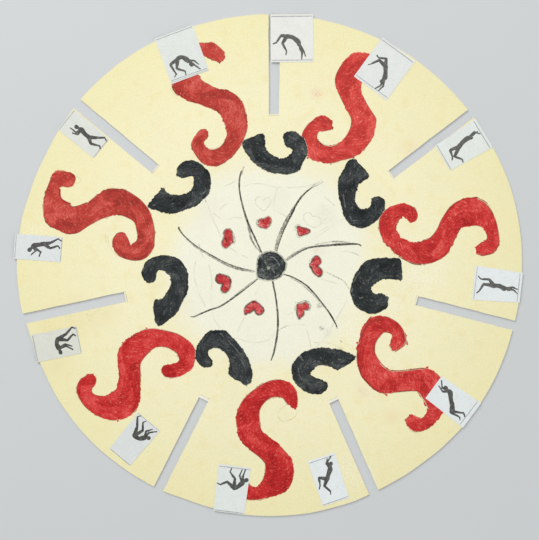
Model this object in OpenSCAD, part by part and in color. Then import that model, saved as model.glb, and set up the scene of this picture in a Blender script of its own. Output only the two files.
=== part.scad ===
// Spinning picture disc: a slotted card disc with twelve paper picture slips pasted round its rim.
// The pin hole's axis is the Z axis, the back of the card is at z = 0 and the picture face looks up.

/* [Card disc] */
// Diameter of the card disc
disc_d = 250; // [200:1:320]
// Thickness of the card
card_t = 1; // [0.5:0.1:3]
// How far the disc's middle lies to the right of the pin hole, which was punched by hand
middle_x = 1.1; // [-3:0.1:3]
// How far the disc's middle lies above the pin hole
middle_y = 1.6; // [-3:0.1:3]
// Diameter of the pin hole
pin_hole_d = 1.4; // [0.8:0.1:6]

/* [Viewing slots] */
// Number of slots
slot_count = 7; // [3:1:9]
// Width of a slot
slot_w = 5; // [2:0.1:8]
// Length of a slot, in from the rim
slot_len = 50; // [30:1:80]
// Direction of the first slot, counterclockwise from the right
first_slot = 89; // [85:0.5:92]

/* [Picture slips] */
// Thickness of the slips' paper
paper_t = 0.15; // [0.1:0.05:0.5]
// Length of a slip, in from the rim
slip_len = 23.8; // [15:0.1:30]
// Width of a narrow slip
slip_w = 14; // [9:0.1:18]
// Width of a wide slip
wide_slip_w = 20.5; // [14:0.1:24]

/* [Hidden] */
$fn = 96;
disc_r = disc_d / 2;
slot_pitch = 360 / slot_count;
// Cuts run this far past the faces and the rim that they open
cut_past = 5;

// Each slot as it was cut by hand: turn off its pitch, shift to its left, extra width, extra length
slot_errors = [
    [0.6, -1.1, -0.1, 0],
    [-0.2, -0.8, -0.1, 0],
    [-0.5, 0.7, -0.3, 0],
    [-1.1, 1.6, 0, 0],
    [-0.1, 0.5, 0.1, 0],
    [0.4, 0.3, 0.2, 0.8],
    [-0.3, 0.3, 0.5, 0.3],
];

// Each slip as it was pasted: direction, twist, width, outer and inner extra width, extra length,
// and how far its outer edge stands past the rim
slip_places = [
    [84.6, 6, wide_slip_w, 0.7, 0.9, 0, 0.1],
    [59.8, -6, wide_slip_w, -0.2, -0.3, 0.3, -0.2],
    [31.7, -0.5, slip_w, 2.6, 0.5, 0.4, -0.1],
    [-5.2, -1, slip_w, 1, 3.1, 0, 0.3],
    [-36.9, 0.5, slip_w, 1.4, -0.5, 0, 0.3],
    [-74.9, 3, slip_w, -0.2, 0.1, -0.2, -2.4],
    [-99.8, 2.5, slip_w, 1.4, 2.2, -0.3, 0.3],
    [-127.9, -1.5, slip_w, -0.7, 0.2, -0.9, -3.2],
    [-159.6, -9, slip_w, 0, -0.2, -1, 0.1],
    [175.9, 0, slip_w, -1.6, -1.5, -0.2, 2.9],
    [145.1, -5, slip_w, -1.2, -1.8, -0.9, 0],
    [112.9, -2.5, wide_slip_w, -0.4, -0.8, 0.3, 0.6],
];

// The disc's middle, from which the slots and the slips are laid out
module at_middle() translate([middle_x, middle_y, 0]) children();

// One slot's cutting block, for the slot with this index, clockwise from the first
module slot_cut(index) {
    error = slot_errors[index % len(slot_errors)];
    width = slot_w + error[2];
    inner = disc_r - slot_len - error[3];
    rotate(first_slot - index * slot_pitch + error[0])
        translate([inner, error[1] - width / 2, -cut_past])
            cube([disc_r - inner + cut_past, width, card_t + 2 * cut_past]);
}

// The card: a disc with its slots and its pin hole
module card_disc() {
    color("#f2ecc6")
        difference() {
            at_middle() cylinder(h = card_t, d = disc_d);
            at_middle() for (index = [0 : slot_count - 1]) slot_cut(index);
            translate([0, 0, -cut_past]) cylinder(h = card_t + 2 * cut_past, d = pin_hole_d);
        }
}

// One paper slip, pasted on the picture face: wider or narrower towards the middle, as it was cut
module picture_slip(number) {
    place = slip_places[number - 1];
    length = slip_len + place[5];
    outer = (place[2] + place[3]) / 2;
    inner = (place[2] + place[4]) / 2;
    outline = [[-length / 2, -inner], [length / 2, -outer], [length / 2, outer], [-length / 2, inner]];
    color("#dbe0e6")
        at_middle()
            rotate(place[0])
                translate([disc_r + place[6] - length / 2, 0, card_t])
                    rotate(place[1])
                        linear_extrude(height = paper_t) polygon(outline);
}

card_disc();
picture_slip(1);  // picture_slip_01
picture_slip(2);  // picture_slip_02
picture_slip(3);  // picture_slip_03
picture_slip(4);  // picture_slip_04
picture_slip(5);  // picture_slip_05
picture_slip(6);  // picture_slip_06
picture_slip(7);  // picture_slip_07
picture_slip(8);  // picture_slip_08
picture_slip(9);  // picture_slip_09
picture_slip(10);  // picture_slip_10
picture_slip(11);  // picture_slip_11
picture_slip(12);  // picture_slip_12
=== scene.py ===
"""Looks of a hand-made spinning picture disc: slotted card, pencil colouring and pasted picture slips.

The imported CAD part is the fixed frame. The card and the slips are rebuilt as cut sheets in the same
places, the pencil work lies on them as thin films, and every finish is procedural. Sizes are in
millimetres until a mesh is written in metres.
"""
import logging
import math
from collections.abc import Sequence
from dataclasses import dataclass
from enum import Enum

import bmesh
import bpy
from mathutils import Matrix, Vector, noise


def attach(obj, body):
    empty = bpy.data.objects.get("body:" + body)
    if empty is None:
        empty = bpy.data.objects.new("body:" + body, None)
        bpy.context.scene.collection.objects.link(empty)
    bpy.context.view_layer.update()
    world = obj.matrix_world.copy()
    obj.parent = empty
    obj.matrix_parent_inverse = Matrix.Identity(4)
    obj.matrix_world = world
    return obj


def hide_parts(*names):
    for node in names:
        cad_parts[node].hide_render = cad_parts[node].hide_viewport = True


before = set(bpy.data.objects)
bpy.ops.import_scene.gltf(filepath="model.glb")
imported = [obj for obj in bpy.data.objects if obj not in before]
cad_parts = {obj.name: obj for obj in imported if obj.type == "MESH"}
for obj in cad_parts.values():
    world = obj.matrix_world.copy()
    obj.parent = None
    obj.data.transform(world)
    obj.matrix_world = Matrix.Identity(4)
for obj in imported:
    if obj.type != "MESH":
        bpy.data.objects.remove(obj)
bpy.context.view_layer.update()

LOG = logging.getLogger("picture_disc")
MM = 0.001
BODY = "root"
# The disc's middle, measured from the pin hole, which was punched by hand
MIDDLE = Vector((1.1, 1.6, 0.0))
DISC_RADIUS = 125.0
CARD_TOP = 1.0
# Name of the point attribute of drawn films: along the stroke, across it, and in from its edge
STROKE = "stroke"
# Lines of one film that cross lie on different levels: how many there are, and how far apart
LEVELS, LEVEL_STEP = 5, 0.0007
# Lengths along a stroke over which the hand sways, shakes, and strays more towards an end
SWAY, SHAKE, TAIL = 2.6, 0.8, 1.5
# Width of a stroke of wax that ran past an edge, at its outer and its inner end
OVERSHOOT_WIDTHS = (0.9, 1.9)

Mesh = bmesh.types.BMesh
Tree = bpy.types.NodeTree
Socket = bpy.types.NodeSocket
# A place, a place with a line's width there, and the two places on a band's left and right edge
Point = tuple[float, float]
Spot = tuple[float, float, float]
Station = tuple[float, float, float, float]


class Layer(Enum):
    """Height of each film's top over the card's face, so that later marks lie over earlier ones."""

    GHOST_LINE = 0.005
    SOFT_LINE = 0.009
    HATCHING = 0.013
    SPOKE = 0.017
    # Also for the red strokes that ran past a scroll's edge, which start under the scroll
    BARE_STRIP = 0.021
    RED = 0.025
    EDGE_LINE = 0.029
    OUTLINE = 0.033
    BLACK = 0.037
    WORN_MARK = 0.041


def linear(hex_colour: str) -> tuple[float, float, float, float]:
    """Turns an sRGB hex colour into linear values for a shader.

    Args:
        hex_colour: six hex digits after a hash sign.

    Returns:
        Linear red, green and blue, and a full alpha.
    """
    parts = [int(hex_colour[k : k + 2], 16) / 255 for k in (1, 3, 5)]
    red, green, blue = (c / 12.92 if c <= 0.04045 else ((c + 0.055) / 1.055) ** 2.4 for c in parts)
    return (red, green, blue, 1.0)


def cells(size: float) -> float:
    """Texture scale at which one cell spans this many millimetres on coordinates in metres."""
    return 1 / (size * MM)


def eased(share: float) -> float:
    """Eases a share from 0 to 1 in and out, and holds it past the ends."""
    share = min(max(share, 0.0), 1.0)
    return share * share * (3 - 2 * share)


def add(tree: Tree, kind: str, fill: dict | None = None, **settings) -> bpy.types.Node:
    """Adds a node to a material, with its settings, values and links.

    Args:
        tree: the material's node tree.
        kind: the node's type name.
        fill: value or output socket for each input, by name or index.
        settings: properties of the node.

    Returns:
        The new node.
    """
    node = tree.nodes.new(kind)
    for name, value in settings.items():
        setattr(node, name, value)
    for key, value in (fill or {}).items():
        if isinstance(value, bpy.types.NodeSocket):
            tree.links.new(value, node.inputs[key])
        else:
            node.inputs[key].default_value = value
    return node


def object_place(tree: Tree) -> Socket:
    """Gives the place on the part, in metres."""
    return add(tree, "ShaderNodeTexCoord").outputs["Object"]


def stroke_place(tree: Tree) -> Socket:
    """Gives the place in a drawn stroke, in metres: along it, across it and in from its edge."""
    return add(tree, "ShaderNodeAttribute", attribute_name=STROKE).outputs["Vector"]


def clouds(tree: Tree, place: Socket, size: float, detail: float) -> Socket:
    """Builds a noise of about 0.5 with cells of this many millimetres."""
    fill = {"Vector": place, "Scale": cells(size), "Detail": detail}
    return add(tree, "ShaderNodeTexNoise", fill).outputs["Fac"]


def combine(tree: Tree, operation: str, *values: Socket | float, clamp: bool = False) -> Socket:
    """Combines two or three numbers by one operation."""
    fill = dict(enumerate(values))
    return add(tree, "ShaderNodeMath", fill, operation=operation, use_clamp=clamp).outputs[0]


def measure(tree: Tree, operation: str, *vectors: Socket | Spot) -> Socket:
    """Gets one number from two vectors, such as their distance."""
    fill = dict(enumerate(vectors))
    return add(tree, "ShaderNodeVectorMath", fill, operation=operation).outputs["Value"]


def stretch(tree: Tree, vector: Socket, factors: Spot) -> Socket:
    """Multiplies a vector by a factor along each axis."""
    return add(tree, "ShaderNodeVectorMath", {0: vector, 1: factors}, operation="MULTIPLY").outputs[0]


def streaked(tree: Tree, vector: Socket, factors: Spot) -> Socket:
    """Builds a noise of about 0.5 on a place that is stretched by a factor along each axis."""
    fill = {"Vector": stretch(tree, vector, factors), "Scale": 1.0, "Detail": 3.0}
    return add(tree, "ShaderNodeTexNoise", fill).outputs["Fac"]


def turned(tree: Tree, vector: Socket, angle: float) -> Socket:
    """Turns a vector in the card's plane, by an angle in radians."""
    return add(tree, "ShaderNodeMapping", {"Vector": vector, "Rotation": (0.0, 0.0, angle)}).outputs[0]


def shaded(tree: Tree, colour: Socket | Spot, level: Socket) -> Socket:
    """Makes a colour lighter or darker by a level."""
    return add(tree, "ShaderNodeVectorMath", {0: colour, "Scale": level}, operation="SCALE").outputs[0]


def summed(tree: Tree, start: Socket | float, *parts: tuple[Socket, float]) -> Socket:
    """Adds parts to a start, each times its weight.

    Args:
        tree: the material's node tree.
        start: what they are added to.
        parts: each part with its weight.

    Returns:
        The sum.
    """
    for part, weight in parts:
        start = combine(tree, "MULTIPLY_ADD", part, weight, start)
    return start


def remap(
    tree: Tree, value: Socket, start: float, end: float, low: float = 0, high: float = 1, kind: str = "LINEAR"
) -> Socket:
    """Maps a value so that start becomes low and end becomes high, and holds it past them."""
    fill = {"Value": value, "From Min": start, "From Max": end, "To Min": low, "To Max": high}
    return add(tree, "ShaderNodeMapRange", fill, interpolation_type=kind).outputs[0]


def blend(tree: Tree, share: Socket, under: Socket | str, over: Socket | str) -> Socket:
    """Lays one colour over another by a share; each is a socket or a hex colour."""
    under, over = (linear(tone) if isinstance(tone, str) else tone for tone in (under, over))
    return add(tree, "ShaderNodeMix", {0: share, 6: under, 7: over}, data_type="RGBA").outputs[2]


def bump(tree: Tree, height: Socket, strength: float, depth: float, over: Socket | None = None) -> Socket:
    """Bends the normal by a fine relief.

    Args:
        tree: the material's node tree.
        height: the relief's height, from 0 to 1.
        strength: how strongly it bends the normal.
        depth: its depth in millimetres.
        over: a normal that is bent already, if there is one.

    Returns:
        The bent normal.
    """
    fill = {"Height": height, "Strength": strength, "Distance": depth * MM}
    if over:
        fill["Normal"] = over
    return add(tree, "ShaderNodeBump", fill).outputs[0]


@dataclass(frozen=True)
class Smudge:
    """A faint smudge on the card: its place from the pin hole, its radius, its colour and its strength."""

    x: float
    y: float
    radius: float
    tone: str = "#eab99c"
    strength: float = 0.28

    def share(self, tree: Tree, place: Socket, cloud: Socket, grainy: Socket) -> Socket:
        """Builds how strongly the smudge covers the card.

        Args:
            tree: the material's node tree.
            place: the place on the part.
            cloud: a noise that makes its outline uneven.
            grainy: how much the card's tooth takes up.

        Returns:
            Its share in the colour.
        """
        reach = self.radius * MM
        away = measure(tree, "DISTANCE", place, (self.x * MM, self.y * MM, CARD_TOP * MM))
        away = summed(tree, away, (cloud, 1.4 * reach))
        share = remap(tree, away, 0.6 * reach, 1.8 * reach, self.strength, 0.0, "SMOOTHSTEP")
        return combine(tree, "MULTIPLY", share, grainy)


# Red dust that a hand rubbed about, graphite dust in the middle, and a drop of wash
SMUDGES = (
    Smudge(24.7, 86.5, 4, "#e8a48c", 0.5),
    Smudge(70.5, 60.2, 8),
    Smudge(61.6, -74, 6),
    Smudge(47, -62, 5.5),
    Smudge(-92, 76, 8),
    Smudge(24.4, 9.4, 3.6, "#e3a9a0", 0.3),
    Smudge(25.4, -19, 1.7, "#85867b", 0.95),
    Smudge(26.4, -30.2, 1.8, "#85867b", 0.85),
    Smudge(29.6, -32.5, 3.4, "#9a9b8e", 0.25),
    Smudge(28.4, 27, 9, "#a9a9a0", 0.16),
    Smudge(3.5, 35, 9, "#a9a9a0", 0.12),
    Smudge(-31, 27, 11, "#c9b3a4", 0.14),
    Smudge(36.6, -25, 3.4, "#e9dfa0", 0.45),
    # Where the wash lies deeper
    Smudge(-109, -29, 13, "#e4d59a", 0.5),
    Smudge(-96, -26, 15, "#e4d59a", 0.48),
    Smudge(-82, -22, 11, "#e4d59a", 0.38),
    Smudge(-106, -47, 12, "#e4d59a", 0.35),
    Smudge(-43, -16.5, 8, "#ece0ae", 0.4),
    # Where it is thin
    Smudge(42, -31, 15, "#f6f4e4", 0.5),
    Smudge(75, 0, 18, "#f6f4e4", 0.5),
    Smudge(60, -18, 10, "#f6f4e4", 0.4),
    Smudge(38, -105, 17, "#f6f4dc", 0.45),
    Smudge(-2, -55, 9, "#f6f4e4", 0.35),
    Smudge(-115, 18, 10, "#f6f4dc", 0.35),
)


def card_colour(tree: Tree, smudges: Sequence[Smudge] = ()) -> Socket:
    """Builds the colour of the card's face, which every pencil film lets through between its strokes.

    White card is bare in the middle and carries a thin cream wash outside it. The wash is blotchy, a
    little deeper towards the rim, and it has specks of dirt.

    Args:
        tree: the material's node tree.
        smudges: the smudges on it.

    Returns:
        The colour's socket.
    """
    place = object_place(tree)
    radius = measure(tree, "DISTANCE", place, tuple(MIDDLE * MM))
    blotch, cloud = clouds(tree, place, 30, 4), clouds(tree, place, 6, 3)
    # The card's tooth is finer than 0.3 mm; it is drawn at 0.9 mm so that it shows at all
    tooth = clouds(tree, place, 0.9, 2)
    edge = summed(tree, radius, (blotch, 0.022))
    wash = remap(tree, edge, 0.052, 0.068, kind="SMOOTHSTEP")
    colour = blend(tree, wash, "#f2f1dd", "#f4eec7")
    colour = blend(tree, remap(tree, edge, 0.09, 0.135), colour, "#efe8b8")
    rich = combine(tree, "MULTIPLY", remap(tree, cloud, 0.5, 0.85, high=0.7), wash)
    colour = blend(tree, rich, colour, "#ecdfa8")
    grainy = remap(tree, tooth, 0.4, 0.65, high=1.6)
    for smudge in smudges:
        colour = blend(tree, smudge.share(tree, place, cloud, grainy), colour, smudge.tone)
    # One cell in seven has a speck of dirt in it
    speck = add(tree, "ShaderNodeTexVoronoi", {"Vector": place, "Scale": cells(5)})
    near = remap(tree, speck.outputs["Distance"], 0.03, 0.07, 1.0, 0.0)
    chosen = add(tree, "ShaderNodeSeparateColor", {0: speck.outputs["Color"]}).outputs[0]
    dirt = combine(tree, "MULTIPLY", near, remap(tree, chosen, 0.86, 1.0, high=0.6))
    colour = blend(tree, dirt, colour, "#a39a78")
    # The photograph's light falls off a little towards the bottom
    lean = measure(tree, "DOT_PRODUCT", place, (0.25, 1.0, 0.0))
    level = remap(tree, lean, -0.13, 0.13, 0.845, 0.86)
    return shaded(tree, colour, summed(tree, level, (tooth, 0.16), (cloud, 0.05), (blotch, 0.06)))


@dataclass(frozen=True)
class Finish:
    """A procedural finish: its name and the values that are the same all over the surface."""

    name: str
    roughness: float = 0.9
    specular: float = 0.2

    def material(self) -> bpy.types.Material:
        """Builds the finish once and hands out the same material after that.

        Returns:
            The material.
        """
        made = bpy.data.materials.get(self.name)
        if made:
            return made
        made = bpy.data.materials.new(self.name)
        made.use_nodes = True
        tree = made.node_tree
        tree.nodes.clear()
        fill = {"Base Color": self.colour(tree), "Roughness": self.roughness}
        shader = add(tree, "ShaderNodeBsdfPrincipled", fill | {"Specular IOR Level": self.specular})
        relief = self.relief(tree)
        if relief:
            tree.links.new(relief, shader.inputs["Normal"])
        add(tree, "ShaderNodeOutputMaterial", {"Surface": shader.outputs[0]})
        return made

    def colour(self, tree: Tree) -> Socket:
        """Builds the finish's colour; each finish has its own."""
        raise NotImplementedError

    def relief(self, tree: Tree) -> Socket | None:
        """Builds the finish's fine relief; a finish without one gives none."""
        return None


@dataclass(frozen=True)
class WashedCard(Finish):
    """Pulp card with a calendered white face under a watery cream wash: matt, blotchy, faintly toothed."""

    tooth: float = 0.8
    cockle: float = 22

    def colour(self, tree: Tree) -> Socket:
        """Gives the face the shared card colour, with its smudges."""
        return card_colour(tree, SMUDGES)

    def relief(self, tree: Tree) -> Socket:
        """Builds the slow cockling that the wash left, with the paper's tooth on it.

        Args:
            tree: the material's node tree.

        Returns:
            The bent normal.
        """
        place = object_place(tree)
        cockled = bump(tree, clouds(tree, place, self.cockle, 1), 0.25, 0.6)
        return bump(tree, clouds(tree, place, self.tooth, 3), 0.25, 0.06, cockled)


@dataclass(frozen=True)
class CutEdge(Finish):
    """The card's cut edge: pressed pulp layers with no wash, whiter than the face and a little furry."""

    roughness: float = 0.95
    layer: float = 0.22
    # How far a layer stays the same along the cut
    run: float = 2.5

    def colour(self, tree: Tree) -> Socket:
        """Builds the pulp layers, which lie level and change slowly along the cut."""
        pulp = streaked(tree, object_place(tree), (cells(self.run), cells(self.run), cells(self.layer)))
        return blend(tree, remap(tree, pulp, 0.35, 0.7), "#f6f5ec", "#dcd8c4")


@dataclass(frozen=True)
class BareCard(Finish):
    """Uncoloured white card: its back, and the strips at the slots that the wash missed."""

    base: str = "#f3f2e8"
    deep: str = "#e6e3d3"

    def colour(self, tree: Tree) -> Socket:
        """Builds the plain pulp white with its soft clouds and fine fibres.

        Args:
            tree: the material's node tree.

        Returns:
            The colour's socket.
        """
        place = object_place(tree)
        # The fibres are finer than 0.1 mm; they are drawn at 0.8 mm so that they show at all
        fill = {"Vector": place, "Scale": cells(0.8), "Detail": 2.0, "Distortion": 1.5}
        fibre = add(tree, "ShaderNodeTexNoise", fill).outputs["Fac"]
        both = combine(tree, "ADD", clouds(tree, place, 9, 5), fibre)
        return blend(tree, remap(tree, both, 0.75, 1.35), self.base, self.deep)


@dataclass(frozen=True)
class ColouredPencil(Finish):
    """Wax pencil rubbed on card in crossing strokes: streaky, paler at the edge, with card in the tooth."""

    roughness: float = 0.8
    specular: float = 0.12
    core: str = "#c93634"
    thin: str = "#e6615a"
    heavy: str = "#a02020"
    # The first pencil outline where it shows under the wax, and how strongly
    outline: str = "#73392f"
    outlined: float = 0.6
    # Length and width of the strokes
    stroke: tuple[float, float] = (5.0, 0.7)
    # How far each lay of strokes is turned from the drawn shape's way, in radians
    lays: tuple[float, float] = (0.15, 0.85)
    # Whether the strokes follow the distance from the edge, round and round, and not the drawn shape
    ringed: bool = False
    # Size of the patches of strokes that were laid in one go, and their turn in radians
    patch: tuple[float, float] = (13.0, 6.0)
    patch_turn: float = 0.6
    # Share of the card that shows in the tooth
    gaps: float = 0.3
    # Width of the paler edge
    edge: float = 1.0

    def streaks(self, tree: Tree, drawn: Socket, turn: float, share: float = 1.0) -> Socket:
        """Builds one lay of strokes.

        Args:
            tree: the material's node tree.
            drawn: the stroke attribute.
            turn: how far the strokes are turned from the shape's way, in radians.
            share: their size, as a share of the full strokes.

        Returns:
            Their depth, about 0.5.
        """
        long, wide = (cells(size * share) for size in self.stroke)
        pull = (long, long, wide) if self.ringed else (long, wide, 0.0)
        return streaked(tree, turned(tree, drawn, turn), pull)

    def patches(self, tree: Tree, drawn: Socket) -> Socket:
        """Builds the patches of strokes that were laid in one go.

        Args:
            tree: the material's node tree.
            drawn: the stroke attribute.

        Returns:
            A depth from 0 to 1 for each patch.
        """
        spread = stretch(tree, drawn, (cells(self.patch[0]), cells(self.patch[1]), 0.0))
        fill = {"Vector": turned(tree, spread, self.patch_turn), "Scale": 1.0, "Smoothness": 0.12}
        patch = add(tree, "ShaderNodeTexVoronoi", fill, feature="SMOOTH_F1").outputs["Color"]
        return add(tree, "ShaderNodeSeparateColor", {0: patch}).outputs[0]

    def colour(self, tree: Tree) -> Socket:
        """Builds the crossing strokes, the outline under them and the card that shows through.

        Args:
            tree: the material's node tree.

        Returns:
            The colour's socket.
        """
        place, drawn = object_place(tree), stroke_place(tree)
        inward = add(tree, "ShaderNodeSeparateXYZ", {0: drawn}).outputs[2]
        first, second = (self.streaks(tree, drawn, turn) for turn in self.lays)
        # The card's tooth is finer than 0.3 mm; it is drawn at 0.8 mm so that it shows at all
        tooth, cloud = clouds(tree, place, 0.8, 2), clouds(tree, place, 5, 3)
        parts = ((first, 1.0), (second, 0.9), (cloud, 1.3), (tooth, 1.0), (self.patches(tree, drawn), 0.6))
        depth = summed(tree, remap(tree, inward, 0.0, self.edge * MM, -0.3, 0.0), *parts)
        colour = blend(tree, remap(tree, depth, 1.75, 2.35), self.thin, self.core)
        colour = blend(tree, remap(tree, depth, 2.35, 3.0), colour, self.heavy)
        if self.outlined:
            shows = remap(tree, clouds(tree, place, 9, 1), 0.44, 0.56, high=self.outlined)
            near = remap(tree, inward, 0.9 * MM, 0.4 * MM)
            colour = blend(tree, combine(tree, "MULTIPLY", shows, near), colour, self.outline)
        # Bare specks are short, and lie in rows between the strokes
        speck = summed(tree, self.streaks(tree, drawn, self.lays[1], 0.55), (tooth, 0.6), (second, 0.5))
        bare = remap(tree, speck, 0.92, 0.68, high=self.gaps)
        # The very edge is broken up by the tooth
        cover = remap(tree, summed(tree, inward, (tooth, 0.8 * MM)), 0.3 * MM, 0.65 * MM)
        cover = combine(tree, "SUBTRACT", cover, bare, clamp=True)
        return blend(tree, cover, card_colour(tree), colour)


@dataclass(frozen=True)
class Graphite(Finish):
    """Soft pencil line on toothed card: grey, grainy and broken where the hand was light."""

    lead: str = "#343532"
    # How hard the pencil was pressed, from 0 to 1
    press: float = 1.0
    # How far the line fades in and out along its way
    fading: float = 0.2
    # Width over which its sides go from the ground to the lead
    side: float = 0.2
    # How much of the card's tooth it leaves bare, from 0 to 1
    grain: float = 0.5
    # What shows through on its left and on its right; empty for the card
    over: tuple[str, str] = ("", "")

    def ground(self, tree: Tree, across: Socket) -> Socket:
        """Builds the colour that the line lies on, which may differ on its two sides.

        Args:
            tree: the material's node tree.
            across: the place across the line, positive on its left.

        Returns:
            The colour's socket.
        """
        if not any(self.over):
            return card_colour(tree)
        left, right = (tone or card_colour(tree) for tone in self.over)
        return blend(tree, remap(tree, across, -0.1 * MM, 0.1 * MM), right, left)

    def colour(self, tree: Tree) -> Socket:
        """Builds the grainy lead with its ground showing in the gaps.

        Args:
            tree: the material's node tree.

        Returns:
            The colour's socket.
        """
        place = object_place(tree)
        _, across, inward = add(tree, "ShaderNodeSeparateXYZ", {0: stroke_place(tree)}).outputs
        # The card's tooth is finer than 0.3 mm; it is drawn at 0.7 mm so that it shows at all
        cover = remap(tree, clouds(tree, place, 0.7, 2), 0.68, 0.4, low=1 - self.grain)
        side = remap(tree, inward, 0.0, self.side * MM, low=0.15)
        fade = remap(tree, clouds(tree, place, 6, 1), 0.38, 0.58, low=1 - self.fading)
        for part in (side, fade, self.press):
            cover = combine(tree, "MULTIPLY", cover, part)
        return blend(tree, cover, self.ground(tree, across), self.lead)


@dataclass(frozen=True)
class PrinterPaper(Finish):
    """Machine-made printer paper, bleached and brightened: smooth, matt and a little bluer than the card."""

    tint: str = "#dde1e0"

    def colour(self, tree: Tree) -> Socket:
        """Builds the paper's even tint with a trace of fibre cloud and toner dust.

        Args:
            tree: the material's node tree.

        Returns:
            The colour's socket.
        """
        place = object_place(tree)
        cloud, dust = clouds(tree, place, 5, 3), clouds(tree, place, 0.9, 2)
        return shaded(tree, linear(self.tint)[:3], summed(tree, 0.86, (cloud, 0.1), (dust, 0.18)))

    def relief(self, tree: Tree) -> Socket:
        """Builds the faint waviness that the paste left in the paper."""
        return bump(tree, clouds(tree, object_place(tree), 8, 1), 0.2, 0.2)


@dataclass(frozen=True)
class Toner(Finish):
    """Printer toner fused on paper: dark warm grey, slightly uneven, a touch smoother than the paper."""

    roughness: float = 0.75
    ink: str = "#4c4d4b"
    thin: str = "#676864"
    mottle: float = 1.4

    def colour(self, tree: Tree) -> Socket:
        """Builds the uneven grey of printed toner."""
        patch = clouds(tree, object_place(tree), self.mottle, 2)
        return blend(tree, remap(tree, patch, 0.4, 0.7), self.ink, self.thin)


@dataclass(frozen=True)
class PaintedBoard(Finish):
    """Matt painted board of the studio floor: pale grey with the roller's faint unevenness."""

    tone: str = "#cfd2d3"
    uneven: str = "#cccfd0"

    def colour(self, tree: Tree) -> Socket:
        """Builds the floor's nearly even tone."""
        return blend(tree, clouds(tree, object_place(tree), 90, 2), self.tone, self.uneven)


CARD_FACE = WashedCard("cream_washed_card")
CARD_EDGE = CutEdge("cut_card_edge")
CARD_BACK = BareCard("bare_white_card")
LIGHT_RED = ColouredPencil(
    "red_wax_pencil_light", core="#ce423c", thin="#e8665c", heavy="#ac302e", outlined=0.3
)
RED = ColouredPencil("red_wax_pencil")
FIRM_RED = ColouredPencil(
    "red_wax_pencil_firm", core="#c42e2d", thin="#e15350", heavy="#9e191c", outlined=0.45
)
GREYED_RED = ColouredPencil(
    "red_wax_pencil_over_graphite",
    core="#be4239", thin="#d66258", heavy="#98322b", outline="#6b3a30", outlined=0.65,
)
HEART_PENCIL = ColouredPencil(
    "red_wax_pencil_small",
    core="#c53d3e", thin="#e28480", heavy="#a22528", outlined=0.0,
    stroke=(3.0, 0.8), patch=(3.0, 2.0), edge=0.6,
)
BLACK_PENCIL = ColouredPencil(
    "black_wax_pencil",
    core="#343839", thin="#595d5b", heavy="#1d2020", outline="#1a1d1e", outlined=0.7, gaps=0.16, edge=0.8,
)
HUB_PENCIL = ColouredPencil(
    "black_wax_pencil_scribble",
    core="#383d3d", thin="#858880", heavy="#15191a", outlined=0.0,
    stroke=(2.5, 0.6), ringed=True, patch=(6.0, 6.0), gaps=0.2, edge=0.3,
)
# What shows through a pencil line at a red edge, at a heart's edge, on the red and on the black
RED_EDGE, HEART_EDGE, SOFT_HEART_EDGE = ("", "#c3352f"), ("", "#c8484a"), ("", "#cf6562")
ON_RED, ON_BLACK = ("#c2403d", "#c2403d"), ("#383d3d", "#383d3d")
SPOKE_PENCIL = Graphite("graphite_line", lead="#1d1e1c", side=0.15, grain=0.25, fading=0.1)
SOFT_PENCIL = Graphite("graphite_light_line", lead="#4a4b45", press=0.8, fading=0.45, side=0.4, grain=0.7)
EDGE_PENCIL = Graphite("graphite_edge_line", lead="#453a33", press=0.75, fading=0.4, over=RED_EDGE)
OUTLINE_PENCIL = Graphite("graphite_outline", lead="#393431", press=0.85, fading=0.5, over=RED_EDGE)
FAINT_OUTLINE = Graphite(
    "graphite_faint_outline", lead="#66645a", press=0.45, fading=0.6, side=0.25, grain=0.6
)
SUNK_OUTLINE = Graphite("graphite_under_red", lead="#54231f", press=0.8, fading=0.4, side=0.35, over=ON_RED)
HATCH_PENCIL = Graphite("graphite_hatched_line", lead="#41423d", press=0.85, side=0.25, grain=0.6)
HEART_LINE = Graphite("graphite_heart_line", lead="#2f2a28", fading=0.45, over=HEART_EDGE)
SOFT_HEART_LINE = Graphite(
    "graphite_soft_heart_line", lead="#4a4741", press=0.85, fading=0.5, grain=0.6, over=SOFT_HEART_EDGE
)
RED_MARK_PENCIL = Graphite("graphite_over_red", lead="#312424", press=0.9, side=0.25, over=ON_RED)
WORN_HUB = Graphite("card_between_strokes", lead="#9a9e97", press=0.8, side=0.3, over=ON_BLACK)
WORN_HOOK = Graphite("worn_black_wax", lead="#9b9f98", press=0.55, side=0.3, grain=0.8, over=ON_BLACK)
GHOST_PENCIL = Graphite("graphite_rubbed_line", lead="#6c6c63", press=0.25, fading=0.75, side=0.4, grain=0.6)
RUBBED_PENCIL = Graphite("graphite_rubbed_heart", lead="#6c6c63", press=0.55, fading=0.5, side=0.3)
# Dark graphite on the pin hole's wall, which is also painted shade that keeps the hole dark
PIN_HOLE_GRAPHITE_AND_SHADE = Graphite("graphite_and_painted_shade_in_pin_hole", lead="#202221", grain=0.2, side=0.01)
PALE_TONER = Toner("fused_toner_pale", ink="#585855", thin="#71726e")
TONER = Toner("fused_toner")
DARK_TONER = Toner("fused_toner_dark", ink="#424340", thin="#62625d")
# Light grey for the printed border lines, and also for one line of painted shade along a slip's edge
BORDER_TONER_AND_EDGE_SHADE = Toner("fused_toner_thin_line_and_painted_edge_shade", ink="#a4a6a5", thin="#c0c3c2", mottle=0.7)


def lay(direction: float, radius: float = 0.0, twist: float = 0.0) -> Matrix:
    """Places something drawn upright, with the disc's middle below it, at its place on the disc.

    Args:
        direction: where it lies round the middle, counterclockwise from the right, in degrees.
        radius: how far its own origin is from the middle.
        twist: its own turn, counterclockwise, in degrees.

    Returns:
        The matrix from the drawing's millimetres to the disc's.
    """
    turn = Matrix.Rotation(math.radians(direction - 90), 4, "Z")
    own = Matrix.Rotation(math.radians(twist), 4, "Z")
    return Matrix.Translation(MIDDLE) @ turn @ Matrix.Translation((0, radius, 0)) @ own


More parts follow.
